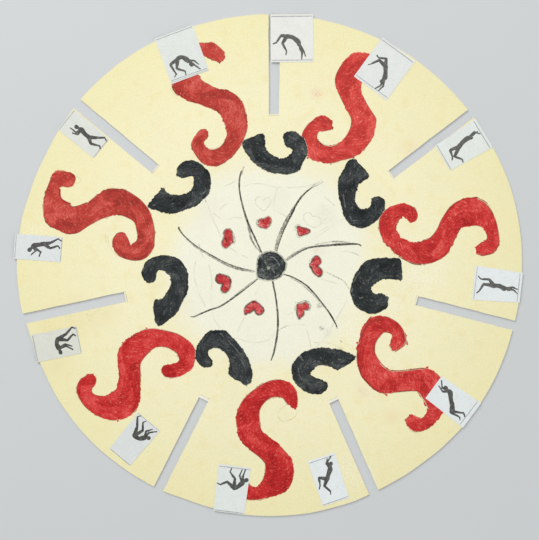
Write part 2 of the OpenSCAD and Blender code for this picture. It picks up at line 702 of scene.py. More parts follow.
def smooth(a: Vector, b: Vector, c: Vector, d: Vector, share: float) -> Vector:
    """Finds a place between b and c on a smooth curve through a, b, c and d.

    Args:
        a: the place before b.
        b: where the stretch starts.
        c: where it ends.
        d: the place after c.
        share: how far along the stretch, from 0 to 1.

    Returns:
        The place.
    """
    square = (2 * a - 5 * b + 4 * c - d) * share**2
    cube = (3 * b - 3 * c + d - a) * share**3
    return 0.5 * (2 * b + (c - a) * share + square + cube)


def face_up(bm: Mesh, faces: list[bmesh.types.BMFace]) -> None:
    """Turns a flat sheet over if it faces down.

    Args:
        bm: the mesh.
        faces: the sheet's faces.
    """
    bm.normal_update()
    if sum(face.normal.z * face.calc_area() for face in faces) < 0:
        bmesh.ops.reverse_faces(bm, faces=faces)


def thicken(bm: Mesh, depth: float) -> None:
    """Gives a flat upward sheet its thickness, downwards, and closes it.

    Args:
        bm: the mesh, with all its faces in one level sheet.
        depth: the thickness.
    """
    pushed = bmesh.ops.extrude_face_region(bm, geom=bm.faces[:])["geom"]
    verts = [item for item in pushed if isinstance(item, bmesh.types.BMVert)]
    bmesh.ops.translate(bm, verts=verts, vec=(0, 0, -depth))
    bmesh.ops.recalc_face_normals(bm, faces=bm.faces[:])


def spun_sheet(bm: Mesh, radii: Sequence[float], steps: int) -> None:
    """Spins a line of vertices into a round flat sheet that faces up.

    Args:
        bm: the mesh to fill.
        radii: the rings' radii, from the inside out; a first one of 0 closes the middle.
        steps: how many steps the turn has.
    """
    line = [bm.verts.new((radius, 0, 0)) for radius in radii]
    edges = [bm.edges.new(pair) for pair in zip(line, line[1:])]
    turn = {"cent": (0, 0, 0), "axis": (0, 0, 1), "dvec": (0, 0, 0), "angle": math.tau}
    bmesh.ops.spin(bm, geom=line + edges, steps=steps, use_merge=True, **turn)
    bmesh.ops.remove_doubles(bm, verts=bm.verts[:], dist=1e-5)
    bm.normal_update()
    down = [face for face in bm.faces if face.normal.z < 0]
    bmesh.ops.reverse_faces(bm, faces=down)


def merge_into(target: Mesh, source: Mesh) -> None:
    """Adds one mesh to another, with its attributes.

    Args:
        target: the mesh that grows.
        source: the mesh that is added; it is freed.
    """
    carried = bpy.data.meshes.new("carried")
    source.to_mesh(carried)
    source.free()
    target.from_mesh(carried)
    bpy.data.meshes.remove(carried)


def write_piece(
    bm: Mesh, name: str, finishes: Sequence[Finish]
) -> bpy.types.Object:
    """Writes a finished mesh in metres as a piece that rides on the disc.

    Args:
        bm: the mesh in millimetres, already in its place; it is freed.
        name: the piece's name.
        finishes: its finishes, in the order of its material indices.

    Returns:
        The new object.
    """
    bmesh.ops.scale(bm, vec=(MM, MM, MM), verts=bm.verts[:])
    mesh = bpy.data.meshes.new(name)
    bm.to_mesh(mesh)
    bm.free()
    for finish in finishes:
        mesh.materials.append(finish.material())
    piece = bpy.data.objects.new(name, mesh)
    bpy.context.scene.collection.objects.link(piece)
    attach(piece, BODY)
    LOG.info("%s: %d faces", name, len(mesh.polygons))
    return piece


@dataclass(frozen=True)
class Sample:
    """One step along a drawn band: its middle, its left edge from there, and how far along it is."""

    middle: Vector
    half: Vector
    along: float


@dataclass(frozen=True)
class Band:
    """A shape drawn between two long edges, given by a point on either edge at each station."""

    # The left edge's x and y, then the right edge's
    stations: tuple[Station, ...]
    # Length of the rounding at the first and the last end; 0 leaves the end as the station cuts it
    caps: tuple[float, float] = (0.0, 0.0)
    # How far the edges stray from their smooth line
    rough: float = 0.05
    # How far the fill stands over the given edges
    spread: float = 0.0
    # How ragged its ends are, in multiples of rough
    jag: float = 3.0
    seed: float = 0.0
    # How many steps the smooth curve has between two stations
    curve_steps: int = 12

    def path(self, spacing: float) -> list[Sample]:
        """Walks the band in even steps, on smooth curves through its stations.

        Args:
            spacing: about how far apart the steps are.

        Returns:
            The steps, with the first and the last at the ends.
        """
        rows = [Vector(station) for station in self.stations]
        rows = [2 * rows[0] - rows[1], *rows, 2 * rows[-1] - rows[-2]]
        shares = [step / self.curve_steps for step in range(self.curve_steps)]
        fine = [smooth(*four, share) for four in zip(rows, rows[1:], rows[2:], rows[3:]) for share in shares]
        fine.append(rows[-2])
        run = [0.0]
        for a, b in zip(fine, fine[1:]):
            run.append(run[-1] + (b.xy + b.zw - a.xy - a.zw).length / 2)
        count = max(4, round(run[-1] / spacing))
        samples, k = [], 0
        for step in range(count + 1):
            along = run[-1] * step / count
            while k < len(run) - 2 and run[k + 1] < along:
                k += 1
            edges = fine[k].lerp(fine[k + 1], (along - run[k]) / max(run[k + 1] - run[k], 1e-9))
            samples.append(Sample((edges.xy + edges.zw) / 2, (edges.xy - edges.zw) / 2, along))
        return samples

    def stray(self, half: Vector, share: float, along: float, to_end: float) -> Vector:
        """Finds how far the hand strayed at one place, across the band and along it.

        Args:
            half: the band's left half there.
            share: the place across the band, from -1 at its right edge to 1 at its left.
            along: how far along the band it is.
            to_end: how far from its nearer end.

        Returns:
            The way off the true shape.
        """
        wander = noise.noise(Vector((along / SWAY, share * 2 + self.seed, self.seed)))
        wander += 0.8 * noise.noise(Vector((along / SHAKE, share * 2 + self.seed, 7.7)))
        wander *= 1 + 1.2 * math.exp(-to_end / TAIL)
        out = half.normalized() * (share * abs(share) * wander * self.rough * 2)
        jag = noise.noise(Vector((share * half.length / 0.6, self.seed, 3.3))) * math.exp(-to_end / 0.6)
        return out + Vector((-half.y, half.x)).normalized() * jag * self.rough * self.jag

    def draw(self, bm: Mesh, top: float, spacing: float = 0.5, across: int = 8) -> None:
        """Lays the band into a mesh as a flat sheet, with its stroke attribute.

        Args:
            bm: the mesh to add to.
            top: the height of the sheet.
            spacing: the step along the band.
            across: an even number of faces across it.
        """
        layer = bm.verts.layers.float_vector.get(STROKE) or bm.verts.layers.float_vector.new(STROKE)
        samples = self.path(spacing)
        total = samples[-1].along
        grid = bmesh.ops.create_grid(bm, x_segments=len(samples) - 1, y_segments=across, size=1.0)
        for vert in grid["verts"]:
            sample = samples[round((vert.co.x + 1) / 2 * (len(samples) - 1))]
            share, half = vert.co.y, sample.half + sample.half.normalized() * self.spread
            to_end = min(sample.along, total - sample.along)
            for cap, left in zip(self.caps, (sample.along, total - sample.along)):
                if left < cap:
                    half *= math.sqrt(max(1 - (1 - left / cap) ** 2, 0.01))
            place = sample.middle + half * share + self.stray(half, share, sample.along, to_end)
            vert.co = (place.x, place.y, top)
            # Seeds are far apart along the stroke, so that no two bands have the same streaks
            inward = min(half.length * (1 - abs(share)), to_end + 0.2)
            vert[layer] = ((sample.along + 40 * self.seed) * MM, share * half.length * MM, inward * MM)
        face_up(bm, list(dict.fromkeys(face for vert in grid["verts"] for face in vert.link_faces)))


def pencil_line(points: Sequence[Spot], seed: float = 0.0, cap: float = 0.3, rough: float = 0.04) -> Band:
    """Draws a line along its middle.

    Args:
        points: the line's points, each with its width there.
        seed: what the line's unevenness starts from.
        cap: the length of the rounding at its ends.
        rough: how far its edges stray.

    Returns:
        The line as a band.
    """
    stations = []
    for k, (x, y, width) in enumerate(points):
        before, after = points[max(k - 1, 0)], points[min(k + 1, len(points) - 1)]
        way = Vector((after[0] - before[0], after[1] - before[1])).normalized() * (width / 2)
        stations.append((x - way.y, y + way.x, x + way.y, y - way.x))
    return Band(tuple(stations), caps=(cap, cap), rough=rough, seed=seed)


def pencil_lines(ways: Sequence[Sequence[Spot]], seed: float, rough: float = 0.04) -> list[Band]:
    """Draws several lines, each with a seed of its own, counted up from the first one's."""
    return [pencil_line(way, seed=seed + k, rough=rough) for k, way in enumerate(ways)]


def widened(way: Sequence[Point], width: float) -> list[Spot]:
    """Gives every place of a line the same width."""
    return [(x, y, width) for x, y in way]


def add_drawn(bm: Mesh, bands: Sequence[Band], layer: Layer, place: Matrix, across: int = 2) -> None:
    """Adds thin drawn bands to a mesh, each with its thickness and in its place.

    Args:
        bm: the mesh that grows.
        bands: the bands.
        layer: which film they lie among.
        place: their place on the disc.
        across: an even number of faces across each.
    """
    for order, band in enumerate(bands):
        part = bmesh.new()
        band.draw(part, CARD_TOP + layer.value + LEVEL_STEP * (order % LEVELS), across=across)
        thicken(part, layer.value)
        part.transform(place)
        merge_into(bm, part)


def line_piece(name: str, lines: Sequence[Band], finish: Finish, layer: Layer) -> None:
    """Builds lines that are measured from the pin hole as one piece.

    Args:
        name: the piece's name.
        lines: the lines.
        finish: their finish.
        layer: which film they lie among.
    """
    bm = bmesh.new()
    add_drawn(bm, lines, layer, Matrix.Identity(4), across=4)
    write_piece(bm, name, (finish,))


def marks_piece(
    name: str, marks: Sequence[tuple[int, Band]], directions: Sequence[float], finish: Finish, layer: Layer
) -> None:
    """Builds lines that are drawn upright over a scroll or a hook as one piece.

    Args:
        name: the piece's name.
        marks: each line, after the number of the shape that it lies on.
        directions: where each shape lies round the disc's middle.
        finish: the lines' finish.
        layer: which film they lie among.
    """
    bm = bmesh.new()
    for number, line in marks:
        add_drawn(bm, [line], layer, lay(directions[number]))
    write_piece(bm, name, (finish,))


def filled_piece(name: str, band: Band, direction: float, finish: Finish, layer: Layer) -> None:
    """Builds one shape that was drawn upright and filled with wax.

    Args:
        name: the piece's name.
        band: the shape.
        direction: where it lies round the disc's middle.
        finish: its finish.
        layer: which film it lies among.
    """
    bm = bmesh.new()
    band.draw(bm, CARD_TOP + layer.value)
    thicken(bm, layer.value)
    bm.transform(lay(direction))
    write_piece(bm, name, (finish,))


def overshoots_piece(name: str, strokes: Sequence[tuple[Point, Point]], finish: Finish, layer: Layer) -> None:
    """Builds the strokes of wax that ran past a filled shape's edge.

    Args:
        name: the piece's name.
        strokes: each stroke's outer and inner end.
        finish: their finish.
        layer: which film they lie among.
    """
    ways = [[(*end, width) for end, width in zip(ends, OVERSHOOT_WIDTHS)] for ends in strokes]
    line_piece(name, pencil_lines(ways, seed=230), finish, layer)


@dataclass(frozen=True)
class Slot:
    """One viewing slot, cut in from the rim with a knife."""

    direction: float
    shift: float
    width: float
    length: float
    # How far its sides are from parallel, in degrees
    taper: float = 0.0


@dataclass
class CardSheet:
    """The slotted card disc, with its hand-cut rim, slots and pin hole."""

    radius: float = DISC_RADIUS
    thickness: float = CARD_TOP
    pin_hole: float = 0.7
    slot_width: float = 5.0
    slot_length: float = 50.0
    slot_pitch: float = 360 / 7
    first_slot: float = 89.0
    # Each slot as it was cut: turn off its pitch, shift to its left, extra width, extra length, taper
    slot_errors: tuple[tuple[float, float, float, float, float], ...] = (
        (0.6, -1.1, -0.1, 0, 0.6),
        (-0.2, -0.8, -0.1, 0, 0),
        (-0.5, 0.7, -0.3, 0, 0),
        (-1.1, 1.6, 0, 0, 0),
        (-0.1, 0.5, 0.1, 0, 0),
        (0.4, 0.3, 0.2, 0.8, 0),
        (-0.3, 0.3, 0.5, 0.3, 0),
    )
    # How far the scissors strayed out of the true circle: direction in degrees, and distance
    rim_drift: tuple[Point, ...] = (
        (0, 0.2), (10, 0.4), (20, 0.4), (30, 0), (45, -0.2), (57, 0), (66, -0.4), (78, -0.6), (90, -0.4),
        (104, -0.4), (114, 0.2), (126, 0.3), (138, 0.4), (147, 0), (154, -0.4), (162, 0.1), (171, 0.9),
        (181, 1.4),
        (189, 1), (196, -0.2), (204, -0.3), (213, 0.3), (223, 0.4), (234, 0.1), (243, -0.1), (250, -0.8),
        (257, -0.4),
        (265, 0.2), (276, 0.2), (288, -0.1), (296, -0.7), (305, -0.7), (314, -0.2), (323, 0.4), (333, 0.2),
        (345, -0.2), (353, 0),
    )
    # How deep the single snips are, and how far the knife strayed along a slot
    snip: float = 0.15
    knife_drift: float = 0.22
    # Rings of the mesh: those round the pin hole, then even ones, and one this far inside the rim
    pin_rings: tuple[float, ...] = (1.1, 1.8, 3.0, 5.0)
    ring_step: float = 4.0
    rim_ring: float = 1.8
    steps: int = 360
    # Between these radii the rings go from round the pin hole to round the disc's middle
    settling: tuple[float, float] = (2.0, 32.0)
    # A slot's cuts only go through faces this near behind it and beside it
    near_behind: float = 6.0
    near_beside: float = 5.0
    # Corners that a cut leaves nearer than this to each other are merged
    merging: float = 0.02
    edge_bevel: float = 0.12

    def slots(self) -> list[Slot]:
        """Works out the seven slots from the pitch and the hand's errors.

        Returns:
            The slots, clockwise from the top.
        """
        made = []
        for index, (turn, shift, wider, longer, taper) in enumerate(self.slot_errors):
            direction = self.first_slot - index * self.slot_pitch + turn
            made.append(Slot(direction, shift, self.slot_width + wider, self.slot_length + longer, taper))
        return made

    def rim(self, angle: float) -> float:
        """Finds the hand-cut rim's radius in one direction.

        Args:
            angle: the direction, in radians.

        Returns:
            The rim's distance from the disc's middle.
        """
        turn = math.degrees(angle) % 360
        ends = (*self.rim_drift, (360.0, self.rim_drift[0][1]))
        (start, low), (end, high) = next(pair for pair in zip(ends, ends[1:]) if pair[1][0] >= turn)
        snips = noise.noise(Vector((9 * math.cos(angle), 9 * math.sin(angle), 4)))
        return self.radius + low + (high - low) * eased((turn - start) / (end - start)) + self.snip * snips

    def cut(self, bm: Mesh, slot: Slot) -> None:
        """Cuts one slot out of the flat sheet.

        Args:
            bm: the sheet.
            slot: the slot to cut.
        """
        angle = math.radians(slot.direction)
        out = Vector((math.cos(angle), math.sin(angle), 0))
        left = Vector((-out.y, out.x, 0))
        start = MIDDLE + out * (self.radius - slot.length) + left * slot.shift
        planes = [(start, out)]
        for side in (1, -1):
            lean = Matrix.Rotation(math.radians(side * slot.taper), 3, "Z")
            planes.append((start + left * side * slot.width / 2, lean @ left))
        for origin, normal in planes:
            near = []
            for face in bm.faces:
                centre = face.calc_center_median() - start
                beside = slot.width / 2 + self.near_beside
                if centre.dot(out) > -self.near_behind and abs(centre.dot(left)) < beside:
                    near.append(face)
            # Each face, vertex and edge once, always in the same order
            parts = [*near, *(v for f in near for v in f.verts), *(e for f in near for e in f.edges)]
            geometry = list(dict.fromkeys(parts))
            bmesh.ops.bisect_plane(bm, geom=geometry, dist=1e-4, plane_co=origin, plane_no=normal)
        gone = []
        for face in bm.faces:
            centre = face.calc_center_median()
            past_end, past_left, past_right = ((centre - origin).dot(normal) for origin, normal in planes)
            if past_end > 0 and past_left < 0 < past_right:
                gone.append(face)
        bmesh.ops.delete(bm, geom=gone, context="FACES")

    def settle(self, vert: bmesh.types.BMVert) -> None:
        """Moves a vertex of the spun sheet to its place on the card.

        Args:
            vert: the vertex.
        """
        radius = vert.co.length
        if radius > self.radius - 0.01:
            vert.co *= self.rim(math.atan2(vert.co.y, vert.co.x)) / radius
        start, end = self.settling
        vert.co += MIDDLE * eased((radius - start) / (end - start))
        vert.co.z = self.thickness

    def ordered(self, bm: Mesh) -> Mesh:
        """Rebuilds the cut sheet in a fixed order and on a fine grid, because the cuts leave both to chance.

        Args:
            bm: the sheet; it is freed.

        Returns:
            The new sheet, the same in every run.
        """
        spots = {}
        for vert in bm.verts:
            # The cuts don't reach the fine rings round the pin hole
            digits = 3 if vert.co.length > self.pin_rings[-1] else 6
            spots[vert] = tuple(round(value, digits) for value in vert.co)
        ranks = {spot: rank for rank, spot in enumerate(sorted(dict.fromkeys(spots.values())))}
        rings = []
        for face in bm.faces:
            ring = list(dict.fromkeys(ranks[spots[vert]] for vert in face.verts))
            first = ring.index(min(ring))
            rings.append(ring[first:] + ring[:first])
        bm.free()
        sheet = bmesh.new()
        verts = [sheet.verts.new(spot) for spot in ranks]
        for ring in sorted(ring for ring in rings if len(ring) > 2):
            sheet.faces.new([verts[rank] for rank in ring])
        return sheet

    def build(self) -> bpy.types.Object:
        """Builds the card: a spun sheet, cut, given its thickness and a soft cut edge.

        Returns:
            The card's piece.
        """
        bm = bmesh.new()
        last = self.pin_rings[-1]
        even = [last + self.ring_step * k for k in range(1, int((self.radius - last) / self.ring_step))]
        rings = [self.pin_hole, *self.pin_rings, *even, self.radius - self.rim_ring, self.radius]
        spun_sheet(bm, rings, self.steps)
        for vert in bm.verts:
            self.settle(vert)
        for slot in self.slots():
            self.cut(bm, slot)
        bm = self.ordered(bm)
        off_pin = [vert for vert in bm.verts if vert.co.length > self.pin_rings[-1]]
        bmesh.ops.remove_doubles(bm, verts=off_pin, dist=self.merging)
        for vert in bm.verts:
            # The slots' walls, but not the rim's and the pin hole's
            if vert.is_boundary and 4 < vert.co.length and (vert.co - MIDDLE).xy.length < self.radius - 2:
                drift = Vector((noise.noise(vert.co / 7), noise.noise(vert.co / 7 + Vector((9, 9, 9))), 0))
                vert.co += self.knife_drift * drift
        thicken(bm, self.thickness)
        edges = [e for e in bm.edges if len({abs(f.normal.z) > 0.5 for f in e.link_faces}) == 2]
        shape = {"segments": 2, "profile": 0.5, "affect": "EDGES", "material": -1, "clamp_overlap": True}
        bmesh.ops.bevel(bm, geom=edges, offset=self.edge_bevel, **shape)
        bm.normal_update()
        finishes = (CARD_FACE, CARD_EDGE, CARD_BACK, PIN_HOLE_GRAPHITE_AND_SHADE)
        for face in bm.faces:
            finish = CARD_EDGE
            # The pin hole's wall gets the dark graphite that is partly painted shade
            if face.calc_center_median().xy.length < self.pin_hole + 0.2:
                finish = PIN_HOLE_GRAPHITE_AND_SHADE
            elif abs(face.normal.z) > 0.95:
                finish = CARD_FACE if face.normal.z > 0 else CARD_BACK
            face.material_index = finishes.index(finish)
        card = write_piece(bm, "card_sheet", finishes)
        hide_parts("card_disc")
        return card


@dataclass
class RedScrolls:
    """Seven S scrolls in red wax pencil, each filled in by hand as one broad band between two slots."""

    directions: tuple[float, ...] = (63.5, 12.1, -39.4, -90.8, -142.2, 166.4, 114.9)
    # Each from its hook's tip to its tail's tip, drawn upright with the disc's middle below
    bands: tuple[tuple[Station, ...], ...] = (
        (
            (10, 103.5, 15.5, 104), (9, 108, 15.5, 110), (6, 109.5, 9, 115), (3, 108.5, 3, 116),
            (0.8, 105.5, -3, 115.8), (0.2, 102, -7, 114.4), (0.8, 99.6, -10.3, 112.2),
            (1.4, 98.2, -12.6, 106), (2.6, 96.6, -13, 99), (7, 93.2, -10.6, 94), (11, 90.7, -5, 89.2),
            (14.8, 88.2, 0, 85.5), (16.4, 83.3, 3.6, 82.7), (17.1, 77.8, 5.1, 78.5), (16, 72, 5, 73.8),
            (13.6, 66.8, 3.6, 69.5), (8.8, 62.5, 1, 67), (3.8, 58.3, -1.5, 65.6), (-3, 56.2, -4.5, 65.3),
            (-9, 57, -6.8, 66), (-13.6, 61.5, -8, 68), (-15.1, 67, -8, 69.9), (-13.6, 73.3, -6.4, 70.9),
            (-10.4, 77.6, -4.6, 72.2), (-6.5, 78.2, -3, 73.6), (-4.4, 77, -2.8, 74.6),
        ),
        (
            (12.7, 101.4, 16.8, 101.5), (11.4, 104.5, 17.8, 105.5), (10.2, 107.8, 17.2, 110.6),
            (7.6, 108.3, 13, 113.6), (4.2, 107, 6, 114.4), (2.6, 104.5, -1, 113.8), (2.1, 101, -8.4, 111),
            (1.9, 98, -11.7, 105), (2.6, 96, -11.5, 98.5), (6, 93.2, -9.3, 93.3), (10, 90, -4, 87.8),
            (13.4, 86.8, 0.3, 84.5), (15.4, 82, 3.5, 80.5), (16, 77.5, 4.3, 76.5), (15, 71.5, 4, 72),
            (12, 66.5, 2.6, 69), (7.5, 61.8, 0.2, 66.2), (0.5, 57.6, -2.5, 65.2), (-6, 56.6, -5.3, 65),
            (-12, 58.5, -7.5, 66.7), (-15.5, 64, -9.7, 69), (-15.8, 71, -9, 70.2),
            (-12.5, 75.9, -7.4, 71.4), (-8.8, 76.8, -6, 72.4), (-6.4, 75.8, -5.4, 73.6),
        ),
        (
            (13.4, 101.3, 17, 100.8), (12.6, 104, 18.8, 104), (11.6, 106.5, 18.2, 109),
            (9, 107, 14.5, 112), (6.3, 106.2, 9, 113.3), (4.8, 104.5, 3, 113.1), (4, 102.2, -3.5, 111.5),
            (3.4, 99.8, -8.5, 107.5), (2.8, 96.4, -10.4, 100.5), (4.5, 94, -9.9, 94), (8, 90.2, -6, 89),
            (11.4, 86.8, -1.6, 84.9), (13.9, 84, 1.8, 81.4), (15.4, 79.5, 3.2, 77.8),
            (14.9, 73.8, 2.7, 72.8), (12.6, 67.4, 1, 68.2), (8.5, 62.4, -1.6, 65.9),
            (2.2, 58.5, -4.6, 65.1), (-4.5, 55.4, -7.2, 65), (-10.5, 55, -9.8, 65.2),
            (-15.8, 59.6, -11.2, 67.6), (-17.8, 66.5, -11, 69.2), (-16.4, 72.3, -8.6, 70.4),
            (-12.2, 76.4, -6.6, 71.6), (-7.5, 75.8, -5.8, 72.8), (-5.2, 74.5, -5.2, 73.4),
        ),
        (
            (10.5, 103, 16, 104), (10.5, 107.5, 17, 110), (8.9, 109.6, 13.5, 115.5),
            (6.8, 110.9, 9.5, 117.2), (4.4, 109.8, 5, 117.2), (2.6, 107.3, 0, 116),
            (1.5, 104.3, -5, 114.8), (1.3, 101, -10, 111.5), (1.5, 98.7, -12.6, 105.5),
            (3.2, 96.8, -12.6, 98.5), (7, 93.8, -9.5, 94), (11, 90.8, -4.6, 88.8), (14.4, 86.6, 0.3, 85.4),
            (15.7, 81.5, 3.6, 82), (16, 76, 4.5, 76), (14.6, 70.8, 4.2, 72), (11.4, 66, 2, 68.7),
            (6, 61.4, -1, 66.7), (0, 58, -3.6, 66.2), (-6, 57.3, -6.4, 66.2), (-11.3, 59.5, -8.2, 67.8),
            (-14, 64, -9.5, 69.6), (-14.3, 69.5, -11, 70.6), (-13.4, 72, -12.2, 71.6),
        ),
        (
            (8.6, 103.2, 11.3, 103), (6.6, 105, 12.4, 107), (5.8, 108, 12.6, 111), (4, 109.2, 9.6, 114.7),
            (2, 108.5, 4.5, 116.3), (0, 106.7, -0.5, 116.2), (-1.2, 104.6, -6.5, 114.4),
            (-1.9, 101.6, -12, 110.8), (-1.9, 98.8, -15.5, 105.5), (-0.2, 96.6, -16.2, 98.5),
            (3.2, 93.2, -13.6, 92.8), (7.6, 90.3, -7.6, 87.8), (11.6, 87.2, -2.6, 84),
            (14, 82.5, 0.8, 81.2), (14.2, 77.5, 2.2, 76.5), (13.4, 71, 2.7, 72), (10.8, 66, 1.4, 68.6),
            (6.6, 62, -1.2, 66), (1.5, 58, -4.2, 64.7), (-5, 55.6, -6.8, 64.3), (-11, 56.2, -9.4, 65),
            (-15.9, 60.8, -9.9, 66.8), (-16.9, 66.5, -9, 69.2), (-15.3, 72, -7.7, 71.4),
            (-12, 75.6, -7, 73.2), (-9, 75.8, -7.5, 74.8),
        ),
        (
            (16.4, 104.4, 18.6, 104.3), (14.5, 105.6, 20.1, 105.2), (13.6, 107.2, 21, 107.5),
            (13.4, 110, 20.9, 111.8), (12.2, 111.2, 19, 115.8), (9.8, 110.5, 13, 116.9),
            (7.6, 109.3, 7, 117.5), (6.3, 106.8, 0, 116.4), (5.4, 104, -5.2, 114.2), (5, 102.2, -8.2, 108),
            (6.4, 99.5, -8.9, 101.5), (8.6, 96, -7.2, 97), (12.5, 92.8, -2.6, 92.6), (16.2, 89.6, 1.6, 88),
            (18.2, 85.5, 4.6, 83.4), (19.1, 80, 6.2, 79), (17.8, 74.5, 5.9, 74.8), (15.6, 69.6, 4.4, 70.8),
            (11.6, 64.8, 1.2, 69), (5.5, 61.2, -1.4, 67.9), (-1, 59, -3.4, 67.5), (-8, 59.3, -5.2, 68.6),
            (-12.6, 62.6, -6.9, 69.9), (-14.3, 68.5, -5.8, 70.8), (-13.4, 74.8, -3.7, 72.4),
            (-9.6, 78.7, -2.1, 74.4), (-5, 79.2, -1.6, 76), (-3, 78.2, -2.2, 77.4),
        ),
        (
            (18.8, 101.2, 22.4, 102.4), (16.6, 104.3, 23.6, 105.2), (14.6, 107, 22.6, 108.6),
            (12.5, 108.6, 20.4, 112.4), (9.5, 109, 15.5, 114.6), (7.5, 107.5, 9, 115), (6.8, 105, 2, 114),
            (7, 102.5, -3.5, 110.5), (7.4, 100, -5.4, 104.4), (7.6, 97.4, -7.2, 99.2),
            (9.8, 94.5, -5.8, 95), (12.6, 91, -1.8, 90.2), (17.2, 87.6, 2.6, 86), (20.2, 83.2, 6.6, 82),
            (21.1, 79, 8.8, 78.6), (20.4, 73, 8.8, 73.6), (18.8, 67.6, 7.4, 68), (14.5, 62.5, 4.8, 65.2),
            (9.5, 58.8, 2.2, 64), (3, 56.2, -0.4, 63.9), (-4, 55.8, -2.8, 64.8), (-9.2, 59.4, -4.6, 66.8),
            (-11, 66, -4.6, 69), (-10.4, 71.6, -3.4, 70), (-6.6, 74.4, -1.4, 70.9), (-3, 75.7, -0.4, 72.6),
            (-1.2, 75, -0.4, 73.8),
        ),
    )
    finishes: tuple[ColouredPencil, ...] = (LIGHT_RED, RED, RED, FIRM_RED, FIRM_RED, GREYED_RED, GREYED_RED)
    # How ragged each scroll's ends are
    raggedness: tuple[float, ...] = (6, 3, 4, 3, 3, 1, 2)
    # Where the first pencil outline shows through the wax: which scroll, and the line
    sunk_outlines: tuple[tuple[int, tuple[Point, ...]], ...] = (
        (2, ((-14.8, 59.4), (-8.7, 56.8), (-2.4, 57.4), (2, 60.2))),
        (2, ((10.3, 65), (12.1, 67.2), (14, 70.5), (14.7, 74.8), (14.9, 79.2), (14.6, 81.8))),
        (5, ((5.8, 103.6), (6.8, 108.2), (8.9, 110.1), (12.2, 110.9))),
        (5, ((-8, 60.4), (-12, 63.6), (-13.2, 68.6))),
        (6, ((8, 87.2), (14.6, 85.4), (18.8, 81.6))),
    )
    # Strokes that ran past the edge, from outside inwards, measured from the pin hole
    overshoots: tuple[tuple[Point, Point], ...] = (
        ((79.8, -49), (77.2, -51.2)), ((59.3, -64), (57.4, -61.6)), ((43.7, -36.8), (46, -38.8)),
        ((43.9, -48), (46, -47.6)), ((66.2, -30.2), (68.6, -34.6)), ((69.4, -38.6), (68, -35.6)),
        ((51.9, -24), (49.8, -26.4)), ((77, -64.6), (78.6, -69)), ((28, 76), (28.8, 73.8)),
        ((32.1, 68.8), (31, 71)), ((31.5, 51.3), (30, 53.6)), ((19, 54.2), (21, 56)),
        ((-26, 50), (-26.8, 52.2)), ((-56, 17.6), (-58.4, 19)), ((-96.9, 17.2), (-96.1, 19.4)),
        ((-112.2, 27.7), (-110, 28.4)), ((-61.2, -29.6), (-59.2, -32)), ((-73.1, -37), (-70.8, -38.8)),
        ((-93.8, -65.6), (-91.4, -67.4)), ((-75.2, -76.9), (-74.4, -74.2)),
        ((-52.9, -50.9), (-51.2, -53.6)), ((-15.9, -82.2), (-13.4, -80.4)),
    )
    # Where the first pencil outline still shows at the edge: which scroll, and the line
    outlines: tuple[tuple[int, tuple[Point, ...]], ...] = (
        (0, ((-6.6, 65.9), (-3, 65.1), (0.6, 66), (3.3, 68.4))),
        (1, ((-10.5, 107.3), (-8.1, 110.4), (-4.2, 112.8), (0.2, 114))),
        (1, ((16, 73.5), (14.6, 69.5), (11.9, 65.9), (9.2, 63))),
        (2, ((5.6, 106.6), (4.3, 104.1), (3.2, 100.6), (2.5, 96.7), (4.8, 93.4), (9.2, 88.8))),
        (2, ((-9, 92.5), (-6.2, 89.4), (-2.9, 86.3), (0.4, 82.9), (2.7, 79.9), (3.5, 77), (3.2, 73))),
        (2, ((-15.2, 74.9), (-12, 77), (-8, 76.3), (-5.4, 75.3))),
        (2, ((-9.8, 64.9), (-5, 64.8), (-2.4, 65.4), (0.6, 67.6))),
        (3, ((-8.6, 68.5), (-6.4, 66.2), (-1.2, 66.1), (1.9, 68.3))),
        (3, ((1.2, 104), (1.2, 101), (1.6, 98.7), (5, 95.4), (10, 91.9))),
        (4, ((-9.8, 65), (-6.6, 64), (-3.6, 64.7))),
        (6, ((-4, 65.2), (-1.8, 63.9), (1.4, 63.7), (4.6, 64.8))),
    )
    # Where it runs over bare card, because the wax didn't fill it
    open_outlines: tuple[tuple[int, tuple[Point, ...]], ...] = (
        (2, ((17.9, 110.4), (19.5, 107), (19.1, 103.8))),
        (3, ((-14, 72.5), (-13.6, 75), (-10.9, 77), (-7, 77.8), (-5, 76), (-5, 73.5), (-6.5, 71.5),
             (-8.8, 69.8))),
        (4, ((8.4, 103), (10, 102.2), (11.5, 102.6))),
        (5, ((16.6, 104.4), (17, 102.7), (18.2, 101.6), (19.4, 102.4), (20.1, 104.4))),
        (5, ((-14.2, 73.5), (-12.4, 77.4), (-9.5, 80.4), (-6.6, 81.7), (-4.6, 82.2))),
        (5, ((-9, 81.8), (-6.5, 83), (-4, 83.6))),
        (6, ((-8.3, 101.2), (-8.2, 98.6), (-6.7, 95.5))),
    )
    # Width of the faint outline that shows in stretches all round, and the fewest places it has
    edge_width: float = 0.46
    shortest: int = 4

    def stretches(self, edge: Sequence[Vector], seed: float) -> list[Band]:
        """Picks the stretches of an edge where the pencil outline still shows faintly.

        Args:
            edge: places along the edge, with the scroll on their right.
            seed: what the choice starts from.

        Returns:
            The stretches as thin lines.
        """
        lines, run = [], []
        for k, place in enumerate(edge):
            shows = noise.noise(Vector((k / 5, seed, 1.7))) > -0.05
            if shows:
                run.append((place.x, place.y, self.edge_width))
            if not shows or k == len(edge) - 1:
                if len(run) >= self.shortest:
                    lines.append(pencil_line(run, seed=seed + k, cap=1.5))
                run = []
        return lines

